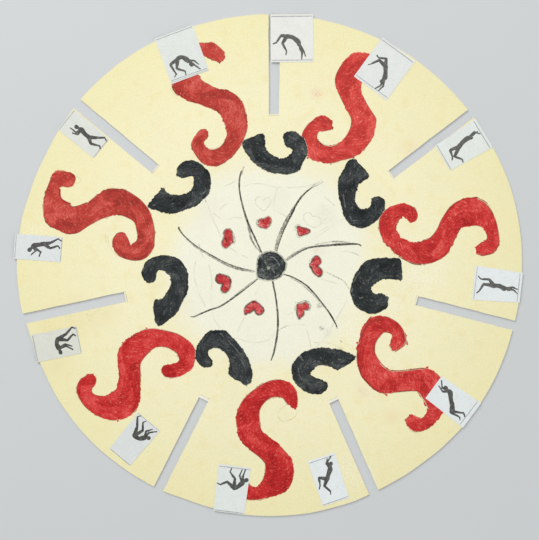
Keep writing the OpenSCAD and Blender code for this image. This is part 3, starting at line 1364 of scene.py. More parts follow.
    def build(self) -> None:
        """Builds the scrolls and what shows of their outlines."""
        edges = bmesh.new()
        for number, (direction, stations) in enumerate(zip(self.directions, self.bands)):
            band = Band(stations, rough=0.27, spread=0.25, jag=self.raggedness[number], seed=number * 3.1)
            filled_piece(f"red_scroll_{number + 1}", band, direction, self.finishes[number], Layer.RED)
            samples = Band(stations).path(1.2)
            sides = ([s.middle + s.half for s in samples], [s.middle - s.half for s in samples][::-1])
            for k, side in enumerate(sides):
                add_drawn(edges, self.stretches(side, 60.0 + number * 2 + k), Layer.EDGE_LINE, lay(direction))
        write_piece(edges, "scroll_edge_lines", (EDGE_PENCIL,))
        for name, ways, width, finish in (
            ("scroll_outlines", self.outlines, 0.6, OUTLINE_PENCIL),
            ("scroll_open_outlines", self.open_outlines, 0.5, FAINT_OUTLINE),
            ("scroll_sunk_outlines", self.sunk_outlines, 0.9, SUNK_OUTLINE),
        ):
            lines = pencil_lines([widened(way, width) for _, way in ways], seed=20)
            marks = [(number, line) for (number, _), line in zip(ways, lines)]
            marks_piece(name, marks, self.directions, finish, Layer.OUTLINE)
        overshoots_piece("scroll_overshoots", self.overshoots, RED, Layer.BARE_STRIP)


@dataclass
class BlackHooks:
    """Seven hooks in black wax pencil, each below a slot and open towards the rim."""

    directions: tuple[float, ...] = (89.6, 37.4, -14.4, -66.4, -116.8, -167.7, 140.1)
    # Each from its blunt end on the left to its curled tip, drawn upright with the disc's middle below
    bands: tuple[tuple[Station, ...], ...] = (
        (
            (-12.6, 62.4, -5.6, 65.2), (-13.8, 61.6, -3.7, 65), (-14.5, 59.4, -3.3, 62),
            (-12.6, 55.8, -3, 59), (-9.6, 51.6, -2, 56.4), (-6, 48.6, -0.4, 55), (-1, 46.2, 1.6, 53.8),
            (4, 45.2, 4, 53), (9.2, 45.1, 6.4, 53.1), (13.6, 47.2, 8.6, 54), (16, 51.2, 9.9, 55.5),
            (17.9, 56, 10.5, 57), (17, 61, 9.6, 57.9), (14, 64.9, 7.7, 58.8), (10.6, 66.5, 6.4, 60.8),
            (7.8, 66, 5.9, 63.4), (6.6, 65.4, 6, 64.8),
        ),
        (
            (-16.4, 65.4, -6.4, 66.3), (-17, 64, -5.1, 65.6), (-17.4, 61.6, -5.2, 63),
            (-15.6, 58, -5.1, 59.6), (-13.6, 53.6, -3.8, 57), (-10, 50.2, -2.2, 54.8), (-5, 47, -0.4, 53),
            (0, 44.8, 1.8, 52.3), (4.6, 43.7, 4.2, 52.2), (8.6, 43.9, 5.8, 53.2), (12.6, 46.4, 7.2, 55.4),
            (14.5, 50.4, 7.1, 57), (14.7, 55.2, 6.2, 58.2), (13.4, 60.2, 5, 59.3), (10.8, 63.2, 4.5, 60.6),
            (8.4, 64.6, 5.2, 62.6), (6.8, 64.2, 6, 63.8),
        ),
        (
            (-17.6, 62.9, -9.8, 65.2), (-18.8, 62, -8.7, 64.4), (-18, 58, -8.5, 62),
            (-17, 53.2, -7.9, 58.4), (-15.4, 48, -6.7, 55.6), (-12, 44.6, -5, 54), (-7, 42.5, -3.2, 52.4),
            (-2, 41.7, -1.6, 51.6), (3, 41.9, -0.2, 51.4), (6.4, 43.4, 0.6, 52.6), (9.8, 46.8, 1.1, 54.4),
            (11.3, 51, 0.6, 55.7), (11.2, 55, 0.2, 57.2), (9.3, 59, 1, 59.3), (6.4, 61.4, 2.4, 60.9),
            (5, 61.8, 3.4, 61.4),
        ),
        (
            (-20.3, 59, -19.8, 60.1), (-18.6, 56.8, -15, 61), (-15.4, 53.4, -10.4, 61.6),
            (-12, 51, -8.5, 60.4), (-7.6, 48.6, -6.4, 58), (-3, 47, -3, 56.1), (1.6, 46.6, -0.2, 55.6),
            (5.4, 47.4, 2, 56.6), (9.6, 49.8, 3.8, 57.8), (12, 53.4, 3.2, 59.1), (12.4, 57.6, 1.8, 60.8),
            (11.4, 61.6, 0, 62.4), (9.4, 64.9, -1.3, 64), (6, 67.8, -2, 65.4), (2.8, 69.1, -1.6, 67.1),
            (1, 68.9, -0.4, 68.3),
        ),
        (
            (-17, 59.4, -5.9, 58.5), (-17.6, 55.4, -5.4, 56.8), (-15.4, 51.6, -4.8, 54.4),
            (-12, 47.8, -3.4, 52.3), (-7.6, 44.4, -1.8, 50.4), (-3, 42.4, 0, 49.6), (1.6, 40.5, 2.4, 49),
            (5.6, 39.8, 4.4, 48.7), (9.4, 41.4, 6.2, 49.6), (12.6, 44.2, 7.9, 51.4), (13.9, 48.4, 8.1, 53),
            (14.2, 53, 7, 54.4), (12.9, 57, 5.2, 55.3), (10.8, 59.9, 3.8, 56.5), (7.8, 60.7, 3.5, 58.2),
            (5.8, 60.4, 4.4, 59.6),
        ),
        (
            (-16.4, 62.1, -8.6, 61.9), (-18, 60.8, -5, 60.2), (-17.2, 58.4, -5.2, 58),
            (-15.2, 54.4, -4.6, 55.4), (-13.8, 51, -3, 53.9), (-9.4, 47.4, -1.4, 52.2),
            (-5, 44, 0.4, 50.9), (-0.6, 42, 2.8, 50.4), (4.6, 41.5, 5.2, 50.4), (9.6, 42.2, 7.2, 51.4),
            (13, 44.8, 8.8, 53.2), (15.2, 49, 9.2, 55), (16.3, 54, 7.6, 56.5), (15.2, 58.9, 5.4, 57.2),
            (12, 62.1, 4.1, 58.8), (8.8, 63.6, 3.8, 60.8), (6.4, 63.4, 4.8, 62.6),
        ),
        (
            (-15.8, 66.2, -8, 65.8), (-17.2, 65.2, -5.1, 65.6), (-16, 61.6, -5.6, 62.6),
            (-14.6, 58.2, -5.1, 60.2), (-12.6, 54.8, -3.6, 58.2), (-9, 51.6, -1.8, 56.4),
            (-5, 49.4, 0, 55.1), (-1, 47.2, 2.4, 54.3), (4, 46.5, 5, 54.3), (9, 47, 7, 55.6),
            (13, 49.6, 8.9, 57.6), (15.6, 53, 8, 58.9), (16.1, 57.4, 6.2, 60.2), (15.2, 62.2, 4.8, 61.6),
            (12.4, 65.6, 4.1, 63.2), (9, 66.7, 4.7, 65), (7, 66.6, 5.8, 66),
        ),
    )
    # Strokes that ran past the edge, from outside inwards, measured from the pin hole
    overshoots: tuple[tuple[Point, Point], ...] = (
        ((-53.6, 40), (-51.6, 37.2)), ((42.7, 55.4), (41.2, 51.4)), ((-3, 67.1), (-2.4, 63.6)),
        ((66.4, 1.4), (63.8, 2.8)),
    )
    # Where the wax is worn or missed: which hook, and the place and width of each mark
    worn: tuple[tuple[int, tuple[Spot, ...]], ...] = (
        (0, ((11.8, 60.4, 0.5), (12.1, 59.4, 0.5))),
        (0, ((-4, 53.4, 0.5), (-2.4, 51.8, 0.5))),
        (0, ((-6.6, 55.4, 0.5), (-6, 54, 0.4))),
        (0, ((14.5, 51, 0.5), (15.2, 53, 0.5))),
        (1, ((-12.5, 60, 0.6), (-11.4, 58.2, 0.6))),
        (1, ((-9.8, 56.4, 0.7), (-9, 54.6, 0.6))),
        (1, ((-7, 52.6, 0.5), (-5.6, 51.2, 0.5))),
        (1, ((-6, 50.2, 0.7), (-2, 47.8, 0.8), (0.4, 46.8, 0.6))),
        (1, ((4.4, 46, 0.8), (7, 45.6, 0.8))),
        (1, ((1.4, 50.2, 0.5), (2.8, 49.2, 0.5))),
        (2, ((-10.4, 63.4, 0.6), (-10, 61.4, 0.5))),
        (2, ((-5, 49.8, 0.6), (-4, 48.2, 0.5))),
        (2, ((-2.2, 48.4, 0.5), (-2.6, 46.4, 0.5))),
        (2, ((4.2, 48.8, 0.6), (5.4, 46.8, 0.5))),
        (2, ((4.6, 54.2, 0.5), (4.7, 52.2, 0.5))),
        (2, ((-8, 44.2, 0.6), (-5, 43, 0.7), (-1.6, 42.2, 0.6))),
        (2, ((1, 42.6, 0.9), (3.6, 42.4, 0.9))),
        (2, ((0.6, 59.6, 0.6), (1.6, 60.8, 0.7), (3.4, 61, 0.6))),
        (3, ((4.2, 50.6, 0.8), (4.6, 48.6, 1.4), (4.9, 47.4, 1))),
        (3, ((8.6, 59.4, 0.5), (8.8, 56, 0.6), (8, 52.6, 0.5))),
        (3, ((-13.4, 57.6, 0.7), (-11.6, 56.4, 0.8))),
        (3, ((-5, 53, 0.5), (-3.8, 52.2, 0.5))),
        (3, ((-6.4, 55.4, 0.4), (-4.8, 54.4, 0.4))),
        (4, ((-8.2, 47.6, 0.5), (-4, 45.4, 0.6), (0.4, 43.8, 0.6), (3.2, 42.6, 0.4))),
        (4, ((-16.6, 58, 0.5), (-15.6, 56, 0.6))),
        (4, ((-12.4, 52.2, 0.5), (-9.4, 49.6, 0.6), (-7, 48.6, 0.5))),
        (4, ((4.6, 42.6, 0.6), (7.6, 41.6, 0.6))),
        (5, ((-13.4, 57.6, 0.6), (-11.2, 56.4, 0.6))),
        (5, ((10.6, 51.4, 0.4), (10.9, 49.2, 0.5))),
        (5, ((12.6, 54, 0.4), (12.8, 51.6, 0.4))),
        (5, ((4.6, 48.4, 0.5), (6.4, 48, 0.5))),
        (5, ((-9, 53.4, 0.5), (-7.4, 51.4, 0.5))),
        (6, ((-15.2, 64.2, 0.5), (-14.4, 63, 0.6), (-13.4, 63.6, 0.4))),
        (6, ((5.2, 63.4, 0.5), (5.6, 65, 0.6), (7, 66, 0.5))),
        (6, ((-8.6, 57.6, 0.5), (-7.6, 56.4, 0.5))),
        (6, ((1.6, 52, 0.6), (2.4, 50.6, 0.6))),
        (6, ((4.4, 49.6, 0.7), (6.2, 48.4, 0.8), (8, 48.6, 0.6))),
    )

    def build(self) -> None:
        """Builds the hooks and their worn places."""
        for number, (direction, stations) in enumerate(zip(self.directions, self.bands)):
            band = Band(stations, rough=0.24, spread=0.25, seed=50 + number * 2.3)
            filled_piece(f"black_hook_{number + 1}", band, direction, BLACK_PENCIL, Layer.BLACK)
        lines = pencil_lines([way for _, way in self.worn], seed=300, rough=0.1)
        marks = [(number, line) for (number, _), line in zip(self.worn, lines)]
        marks_piece("hook_worn_marks", marks, self.directions, WORN_HOOK, Layer.WORN_MARK)
        overshoots_piece("hook_overshoots", self.overshoots, BLACK_PENCIL, Layer.OUTLINE)


@dataclass(frozen=True)
class Shape:
    """A closed shape drawn by hand, such as a heart: its edge, clockwise, from the pin hole."""

    edge: tuple[Point, ...]

    def centre(self) -> Vector:
        """Finds the middle of the shape."""
        return sum((Vector((x, y, 0)) for x, y in self.edge), Vector()) / len(self.edge)

    def rim(self, share: float) -> Vector:
        """Walks round the shape's edge on a smooth curve.

        Args:
            share: how far round, from 0 to 1.

        Returns:
            The place on the edge.
        """
        count = len(self.edge)
        start, on = int(share * count) % count, share * count % 1
        four = (Vector((*self.edge[(start + step) % count], 0)) for step in (-1, 0, 1, 2))
        return smooth(*four, on)


@dataclass
class Pinwheel:
    """The pencilled middle: a scribbled hub, seven curved spokes, hearts and rubbed construction lines."""

    hub_hole: float = 0.75
    # Shares of the way from a film's middle to its edge where its mesh has rings
    hub_rings: tuple[float, ...] = (0.001, 0.12, 0.25, 0.4, 0.55, 0.7, 0.82, 0.92, 1)
    heart_rings: tuple[float, ...] = (0, 0.3, 0.55, 0.75, 0.9, 1)
    film_steps: int = 90
    outline_steps: int = 48
    hub: Shape = Shape(
        ((0, 8.1), (2.5, 7.8), (4.8, 7.1), (6.6, 5.4), (8, 3.6), (8.8, 2), (8.6, 0.6), (8.2, -1),
         (7.1, -2.8), (5.6, -4.6), (3.2, -5.8), (0, -6.2), (-2.6, -5.9), (-4.9, -5), (-5.7, -3.6),
         (-5.9, -1.7), (-5.6, 0.5), (-5.5, 2.5), (-5, 4.7), (-4, 6.1), (-2.4, 7.2))
    )
    # Where the card shows between the hub's strokes
    hub_gaps: tuple[tuple[Spot, ...], ...] = (
        ((0.4, 5.4, 0.5), (2.2, 5.3, 0.8), (3.6, 4.2, 0.6), (4.8, 2.8, 0.6), (5.4, 1.6, 0.7),
         (5.3, 0.6, 0.8)),
        ((0.9, 1.6, 0.5), (1.6, 2.1, 0.5), (2.4, 1.5, 0.5), (2.4, 0.7, 0.5), (1.6, 0.3, 0.4)),
        ((1.2, -0.6, 0.5), (2.2, -1.2, 0.6), (3, -2.2, 0.7), (3.4, -2.8, 0.4)),
        ((-2.9, -0.4, 0.5), (-2.4, -1.6, 0.7), (-1.4, -2.6, 0.6)),
        ((2.6, -4.6, 0.5), (3.8, -4.4, 0.9), (5, -3.7, 0.9), (5.6, -3.1, 0.4)),
        ((-4.5, -4.6, 0.8), (-4, -3.9, 1), (-3.3, -4.7, 0.7)),
        ((-4.3, 5, 0.8), (-3.4, 5.7, 0.8), (-2.4, 6.4, 0.5)),
        ((-0.4, 6.8, 0.5), (0.6, 7, 0.6), (1.6, 6.6, 0.4)),
        ((-2.6, 3.6, 0.3), (-1.6, 3.1, 0.4), (-0.8, 3.7, 0.3)),
        ((0.6, -3, 0.5), (1.4, -3.2, 0.6)),
        ((3.8, 0.4, 0.4), (4.4, -0.4, 0.5)),
    )
    # Middle line and width of each spoke where the pencil was pressed hard
    spokes: tuple[tuple[Spot, ...], ...] = (
        ((-2.8, 6.2, 0.9), (-6.4, 14.2, 0.9), (-10, 22, 1.2), (-12.6, 30, 1), (-14.3, 38, 0.9),
         (-14.4, 44, 1), (-13.4, 48.6, 0.7)),
        ((4.1, 8, 0.5), (5.7, 13.5, 0.7), (8.4, 20.4, 0.9), (11.4, 26.4, 1.1), (14.4, 32.4, 1.1), (18, 37, 1),
         (22, 40.2, 0.8)),
        ((9, 3.4, 0.4), (14, 7, 0.6), (17.4, 8.9, 0.9), (21.6, 10.3, 1), (30, 11.2, 1.2), (37, 11.7, 1.3),
         (44.4, 11.8, 1), (46.4, 10.6, 0.7)),
        ((6.8, -2.9, 0.8), (12, -4.7, 0.8), (17.5, -7.7, 0.9), (22, -11.8, 1), (26.3, -17.1, 1),
         (30.2, -22.2, 1), (33, -27, 0.9), (34.3, -29.8, 0.7)),
        ((1.9, -6, 1.1), (3, -11, 1), (4, -17, 1), (4.7, -24, 1.1), (4.6, -31, 1.1), (3.8, -37, 1.1),
         (2.5, -43, 1), (1.1, -46.4, 0.7)),
        ((-5, -5.2, 0.6), (-9, -8.6, 0.7), (-14, -12.4, 0.9), (-19, -16, 1), (-24, -19.2, 1),
         (-29.5, -21.1, 0.9), (-34, -23, 0.9), (-37.2, -24.4, 0.9), (-39, -24.2, 0.5)),
        ((-7, -1.7, 0.4), (-12, -0.6, 0.6), (-18, 1.2, 0.6), (-24, 3.9, 0.7), (-30, 7.2, 0.7),
         (-36, 10.9, 0.7), (-41, 15, 0.8), (-44, 18.4, 1), (-44.8, 20.6, 1.1)),
    )
    # Where the side of the lead left a broad grey line
    hatched_spokes: tuple[tuple[Spot, ...], ...] = (
        ((-3.6, 7.4, 0.8), (-6.7, 11, 1), (-8.7, 15, 1.3), (-10.2, 21.6, 1.1), (-11.9, 26, 0.6)),
        ((3.3, 7, 1.4), (4.7, 13.4, 1.9), (7.2, 20, 1.9), (10.4, 26.2, 1.6), (13.4, 31.6, 1)),
        ((7.4, 3, 1.5), (12, 6, 1.8), (16.6, 8.8, 1.6), (21, 10.6, 1)),
        ((-4, -4.4, 1.2), (-9, -8.2, 1.4), (-14, -12, 1.3), (-19, -15.8, 0.9)),
        ((-6.7, -1.9, 1.2), (-12, -1, 1.7), (-18, 0.6, 1.8), (-24, 3.4, 1.7), (-30, 6.8, 1.5),
         (-36, 10.5, 1.3), (-41, 14.6, 1)),
    )
    # Lighter strokes beside the spokes, where the pencil went over them again
    second_strokes: tuple[tuple[Spot, ...], ...] = (
        ((-13.6, 46, 1), (-12.8, 49, 1.3), (-11.8, 50.8, 0.8)),
        ((20.6, 39.4, 1), (25.6, 41.8, 0.9), (27.4, 43.2, 0.6)),
        ((21, 40, 0.8), (24.6, 42.4, 0.7), (26.6, 43.8, 0.5)),
        ((23, 11.4, 0.7), (28.4, 12.5, 1), (34.4, 13.1, 1.1), (41, 12.4, 0.8)),
        ((11, -5, 0.7), (16, -7.8, 0.8), (20.6, -11.8, 0.9), (24, -15.4, 0.8), (27.6, -19.6, 0.6)),
        ((-34.9, 12.4, 0.6), (-33.9, 9, 0.8), (-32.4, 5, 0.5)),
        ((2.4, -7, 1), (2.9, -8.8, 0.8)),
        ((40.5, 7.8, 0.6), (43, 7.2, 0.8), (45.2, 5.9, 0.7)),
        ((27.8, -1.6, 0.6), (33, -4.2, 0.9), (37.5, -6.7, 0.8), (40.6, -10.8, 0.6)),
        ((5.2, -31, 0.6), (9.4, -28.8, 0.7)),
        ((35.3, -35.9, 0.8), (36.9, -37.2, 0.7)),
        ((-31.4, 34.6, 0.9), (-31.2, 32.4, 0.8)),
        ((33.4, -28.4, 0.6), (34.4, -30.6, 0.8)),
    )
    hearts: tuple[Shape, ...] = (
        Shape(((-5.3, 22.2), (-4.9, 23.8), (-3.6, 24.7), (-2.4, 24.5), (-1.3, 25.2), (0.2, 25.7),
               (1.3, 24.9), (1.5, 23.2), (0.9, 21.2), (-0.2, 19.9), (-1.1, 19.3), (-2.6, 19.5),
               (-4.3, 20.2), (-5.2, 21.1))),
        Shape(((14, 19.2), (14.1, 20.4), (15, 21.1), (16, 20.5), (17.2, 20.2), (18.8, 19.8), (20.1, 19.1),
               (20.9, 18.1), (20, 17.1), (18.4, 16.4), (16.8, 15.9), (15.4, 15.5), (14.9, 16.6),
               (14.4, 17.9))),
        Shape(((20.2, 1.4), (21.2, 2.6), (21.8, 4.2), (22.8, 5.6), (24, 6.1), (25.3, 5.4), (26.2, 3.9),
               (26.3, 2.4), (25.4, 1.5), (24.9, 0.6), (25.8, -0.2), (26.8, -1.2), (27.1, -2.6), (26.4, -4),
               (25, -4.5), (23.4, -3.6), (22.2, -2.2), (21.2, -0.2))),
        Shape(((14, -17.9), (15.4, -18), (16.7, -17.6), (18, -16.9), (19.4, -17.5), (20.4, -19),
               (20.2, -20.6), (18.9, -21.1), (17.9, -21.4), (17.8, -22.8), (17.1, -24.2), (16.1, -25),
               (15.4, -25.8), (14.7, -24.6), (14.1, -22.8), (13.8, -20.8), (13.9, -19.2))),
        Shape(((-7.1, -16.1), (-5.6, -17.1), (-4, -18.2), (-2.7, -19.6), (-2.1, -21.1), (-2.8, -22.7),
               (-4.3, -23.5), (-5.7, -23.2), (-6.6, -22), (-7.4, -20.9), (-8, -21.7), (-9.2, -22.6),
               (-10.5, -22.7), (-11.5, -23.5), (-12.1, -22.3), (-12.1, -20.7), (-11.4, -19.2),
               (-10.2, -18), (-8.7, -17))),
        Shape(((-25.1, -2.9), (-23.4, -3.1), (-21.5, -3.7), (-19.7, -4.6), (-18.5, -6), (-18.6, -8),
               (-19, -10), (-20, -11.7), (-21.5, -12.4), (-22.9, -11.9), (-23.7, -10.7), (-23.3, -9.5),
               (-22.7, -8.5), (-23.4, -8.1), (-24.8, -7.8), (-25.9, -6.9), (-26.3, -5.3), (-25.9, -3.9))),
        Shape(((-20.1, 19.6), (-18.7, 19), (-17.8, 17.3), (-17.6, 15.4), (-17.4, 13.9), (-17.3, 12.7),
               (-18.4, 11.9), (-19.4, 10.9), (-20.7, 9.7), (-22.1, 9.7), (-23.1, 11), (-23.3, 12.8),
               (-22.6, 14.4), (-22.2, 15.8), (-22.3, 17.3), (-21.6, 18.9))),
    )
    # Hearts whose pencil line is soft and light
    soft_hearts: tuple[int, ...] = (0, 3, 6)
    # How far the wax stops inside a heart's line
    heart_inset: float = 0.45
    # Dark pencil inside the hearts, at their notches and where two lobes meet
    heart_marks: tuple[tuple[Spot, ...], ...] = (
        ((-3.1, 24.3, 0.8), (-2.2, 22.8, 1)),
        ((-1.3, 24.7, 0.7), (0.4, 25.1, 0.6)),
        ((-1, 20.4, 0.7), (-0.8, 19.7, 0.9)),
        ((14.2, 19.4, 0.8), (14.8, 20.4, 0.9), (16.4, 20.2, 0.9)),
        ((17.1, 19.7, 0.9), (19.2, 19.3, 1), (20.2, 18.5, 0.8)),
        ((22.1, 4.7, 0.8), (22.5, 3.4, 0.9), (22.9, 4.9, 0.6)),
        ((25.9, 4.3, 0.7), (26.1, 2.7, 0.7)),
        ((24.8, 1.7, 0.7), (24.1, 0.9, 0.9)),
        ((25.6, -0.6, 0.6), (26.6, -1.9, 0.8)),
        ((14.4, -18.6, 0.6), (14.4, -21, 0.7)),
        ((14.6, -24.2, 0.7), (15.5, -25.1, 0.8)),
        ((-8.4, -17.4, 0.6), (-7, -16.9, 0.8), (-5.7, -17.6, 0.6)),
        ((-7.4, -20.3, 0.7), (-6.9, -21.7, 1)),
        ((-25.7, -4.2, 0.6), (-24.8, -3.3, 0.8)),
        ((-19.2, -5, 0.7), (-18.9, -8.2, 0.8)),
        ((-23.1, -8.1, 0.6), (-22.3, -7.7, 0.5)),
        ((-22, 15, 0.7), (-21.3, 14.6, 0.9), (-20.8, 13.6, 0.8), (-20.8, 12.4, 0.5)),
        ((-17.8, 13.8, 0.6), (-17.7, 12.6, 0.8)),
    )
    # How much wider than that it is drawn
    mark_spread: float = 0.2
    # Pencil that runs beside the hearts, where their lines were drawn twice
    heart_offsets: tuple[tuple[Spot, ...], ...] = (
        ((-5.4, 20.4, 0.6), (-6, 22.2, 0.9), (-5.4, 24.2, 0.7)),
        ((13.3, 18.2, 0.7), (13.4, 20.4, 1), (14.6, 21.6, 0.9), (16.2, 21, 0.7)),
        ((13.8, 17.2, 0.6), (14.6, 15.3, 0.8), (15.8, 14.9, 0.5)),
        ((13.4, -17.2, 0.6), (15.6, -17.3, 0.8), (18.2, -16.3, 0.8), (20.4, -17.3, 0.8), (21, -19.4, 0.8),
         (20.4, -21.3, 0.6)),
        ((13.2, -18.6, 0.6), (13.2, -21.6, 0.8)),
        ((-26.5, -6.2, 0.7), (-25, -8.3, 0.7)),
        ((-24.3, -11.2, 0.6), (-22.6, -12.7, 0.8), (-20.6, -12.8, 0.6)),
        ((-17.2, 17.2, 0.6), (-16.8, 15, 0.8), (-16.6, 13, 0.8), (-17.6, 11.6, 0.6)),
        ((20.2, 3, 0.5), (20.9, 4.6, 0.6)),
    )
    # Hearts that were drawn first and rubbed out
    rubbed_hearts: tuple[Shape, ...] = (
        Shape(((-6.6, 32.8), (-6.2, 34.4), (-4.6, 35.3), (-3.2, 34.6), (-2.5, 33.4), (-1.4, 34.6), (0, 35.1),
               (1.1, 34), (0.8, 31.8), (-0.6, 29.8), (-2.4, 28.4), (-4.4, 29.8), (-5.9, 31.2))),
        Shape(((17.6, 25), (18, 26.8), (19.6, 27.6), (21.2, 26.9), (22, 25.6), (23.6, 25.8), (25.2, 25.2),
               (26.2, 23.6), (25.8, 21.6), (24, 20.3), (21.4, 20.4), (19.4, 21.8), (18, 23.4))),
    )
    construction_lines: tuple[tuple[Point, ...], ...] = (
        ((-22.2, 40.5), (-19, 41.8), (-15.9, 43.5)),
        ((-12.2, 40.7), (-8, 41.8), (-2.7, 41.8), (2.5, 40.4), (9, 40), (15.2, 40.2), (19.4, 40.7),
         (24.6, 42.4)),
        ((-31, 33.8), (-28.5, 26.3), (-23.5, 15.1)),
        ((-27.8, 27.5), (-25, 25.4), (-22.9, 24.1)),
        ((-24.7, 28.5), (-22.6, 30.6), (-20.4, 32.2)),
        ((-20.1, 23.8), (-17.3, 25), (-12.9, 24.8)),
        ((-19.7, 10.1), (-17.2, 8.8), (-15.4, 7), (-16.6, 5.7)),
        ((-13.5, 6.4), (-11.6, 5.6), (-9.8, 4.5)),
        ((2, 29.5), (5.6, 27.4), (9.4, 25.3)),
        ((4.6, 40.5), (3.2, 35), (2.5, 30)),
        ((35.6, 8), (38.4, 8.2), (42, 7.5)),
        ((25.7, -5.5), (30, -6.6), (34.4, -7.9)),
        ((0.8, -34.1), (5.2, -31), (9.5, -28.8), (18.9, -28.4)),
        ((-16.6, -34.7), (-7.9, -37.2), (-0.4, -36), (5.2, -31.6)),
        ((18.9, -30.4), (20.2, -35), (21.3, -40.3)),
        ((23.2, -40), (28.8, -34.1), (32.5, -27.9), (39.4, -16)),
        ((22.6, -37.2), (30, -37.5), (38.1, -40.9)),
        ((8.3, -23.5), (10.4, -23), (12.6, -22.3)),
        ((20.4, 15.3), (26, 18.4), (31.5, 21.6), (37.5, 24.4)),
        ((21.3, 14), (26.5, 17), (31, 20)),
        ((23.5, 21.4), (29, 22.4), (34, 22.6)),
        ((24, 21), (28, 24), (31.6, 26)),
        ((27.6, 35.6), (30.6, 33.2), (33.2, 30.7)),
        ((-29.7, 2), (-28.1, -6.1), (-28.5, -11.7), (-27.8, -22.3), (-26, -27.2), (-23.5, -30.4)),
        ((-2.9, -6.7), (-4.6, -9.6), (-6.7, -13.5)),
        ((-15.4, -32.2), (-13.6, -28), (-11.7, -24.1)),
        ((-36.2, 4), (-37, -4), (-34.4, -13), (-31, -20)),
    )

    def film(
        self, name: str, shape: Shape, finish: Finish, layer: Layer, hole: float = 0.0, inset: float = 0.0
    ) -> None:
        """Builds a filled shape as rings that shrink from its edge to its middle.

        Args:
            name: the piece's name.
            shape: the shape.
            finish: its finish.
            layer: which film it lies among.
            hole: radius of the hole that it leaves round the pin hole; 0 for none.
            inset: how far inside the shape's edge it stops.
        """
        bm = bmesh.new()
        spun_sheet(bm, self.hub_rings if hole else self.heart_rings, self.film_steps)
        tag = bm.verts.layers.float_vector.new(STROKE)
        centre = Vector() if hole else shape.centre()
        for vert in bm.verts:
            share = vert.co.length
            edge = shape.rim(math.atan2(vert.co.y, vert.co.x) / math.tau % 1) - centre
            around = edge.normalized()
            edge -= around * inset
            place = (around * hole).lerp(edge, share)
            # The hub's strokes go round it, so its grain follows the direction and the distance from the edge
            grain = around * 4 if hole else place
            inward = (1 - share) * edge.length * 0.9
            vert[tag] = (grain.x * MM, grain.y * MM, inward * MM)
            vert.co = (centre.x + place.x, centre.y + place.y, CARD_TOP + layer.value)
        face_up(bm, bm.faces[:])
        thicken(bm, layer.value)
        write_piece(bm, name, (finish,))

    def outline(self, shape: Shape, width: float, beyond: float, seed: float) -> Band:
        """Draws the pencil line round a heart or the hub, clockwise, so that the shape is on its right.

        Args:
            shape: the shape.
            width: the line's width.
            beyond: how far outside the shape's edge it runs.
            seed: what its unevenness starts from.

        Returns:
            The line, in its place.
        """
        centre, points = shape.centre(), []
        for step in range(self.outline_steps + 1):
            # It ends just short of where it started
            reach = shape.rim(step / self.outline_steps * 0.999) - centre
            drift = beyond + 0.25 * noise.noise(Vector((step / 5, seed, 0)))
            place = centre + reach * (1 + drift / reach.length)
            points.append((place.x, place.y, width * (1 + 0.5 * noise.noise(Vector((step / 4, seed, 5))))))
        area = sum(a[0] * b[1] - b[0] * a[1] for a, b in zip(points, points[1:]))
        return pencil_line(points[::-1] if area > 0 else points, seed=seed)

    def outlines(self, shapes: Sequence[Shape], width: float, beyond: float, seed: float) -> list[Band]:
        """Draws the lines round several shapes, with seeds counted up from the first one's."""
        return [self.outline(shape, width, beyond, seed + k) for k, shape in enumerate(shapes)]

    def build(self) -> None:
        """Builds the hub, the spokes, the hearts and the rubbed lines."""
        ghosts = pencil_lines([widened(way, 0.95) for way in self.construction_lines], seed=80)
        line_piece("construction_lines", ghosts, GHOST_PENCIL, Layer.GHOST_LINE)
        rubbed = self.outlines(self.rubbed_hearts, 0.5, 0.0, seed=90)
        line_piece("rubbed_hearts", rubbed, RUBBED_PENCIL, Layer.SOFT_LINE)
        soft = pencil_lines(self.second_strokes, seed=120, rough=0.1)
        soft += pencil_lines(self.heart_offsets, seed=130, rough=0.1)
        line_piece("second_strokes", soft, SOFT_PENCIL, Layer.SOFT_LINE)
        hatched = pencil_lines(self.hatched_spokes, seed=110, rough=0.14)
        line_piece("spoke_hatching", hatched, HATCH_PENCIL, Layer.HATCHING)
        line_piece("spokes", pencil_lines(self.spokes, seed=100, rough=0.08), SPOKE_PENCIL, Layer.SPOKE)
        for number, heart in enumerate(self.hearts):
            self.film(f"heart_{number + 1}", heart, HEART_PENCIL, Layer.RED, inset=self.heart_inset)
        wider = [[(x, y, width + self.mark_spread) for x, y, width in way] for way in self.heart_marks]
        line_piece("heart_marks", pencil_lines(wider, seed=150), RED_MARK_PENCIL, Layer.EDGE_LINE)
        outlines = self.outlines(self.hearts, 1.05, -0.12, seed=140)
        firm = [line for k, line in enumerate(outlines) if k not in self.soft_hearts]
        line_piece("heart_outlines", firm, HEART_LINE, Layer.OUTLINE)
        soft = [outlines[k] for k in self.soft_hearts]
        line_piece("soft_heart_outlines", soft, SOFT_HEART_LINE, Layer.OUTLINE)
        line_piece("hub_halo", [self.outline(self.hub, 1.2, 0.1, 170)], SOFT_PENCIL, Layer.EDGE_LINE)
        self.film("hub_scribble", self.hub, HUB_PENCIL, Layer.BLACK, hole=self.hub_hole)
        gaps = pencil_lines(self.hub_gaps, seed=180, rough=0.1)
        line_piece("hub_gaps", gaps, WORN_HUB, Layer.WORN_MARK)


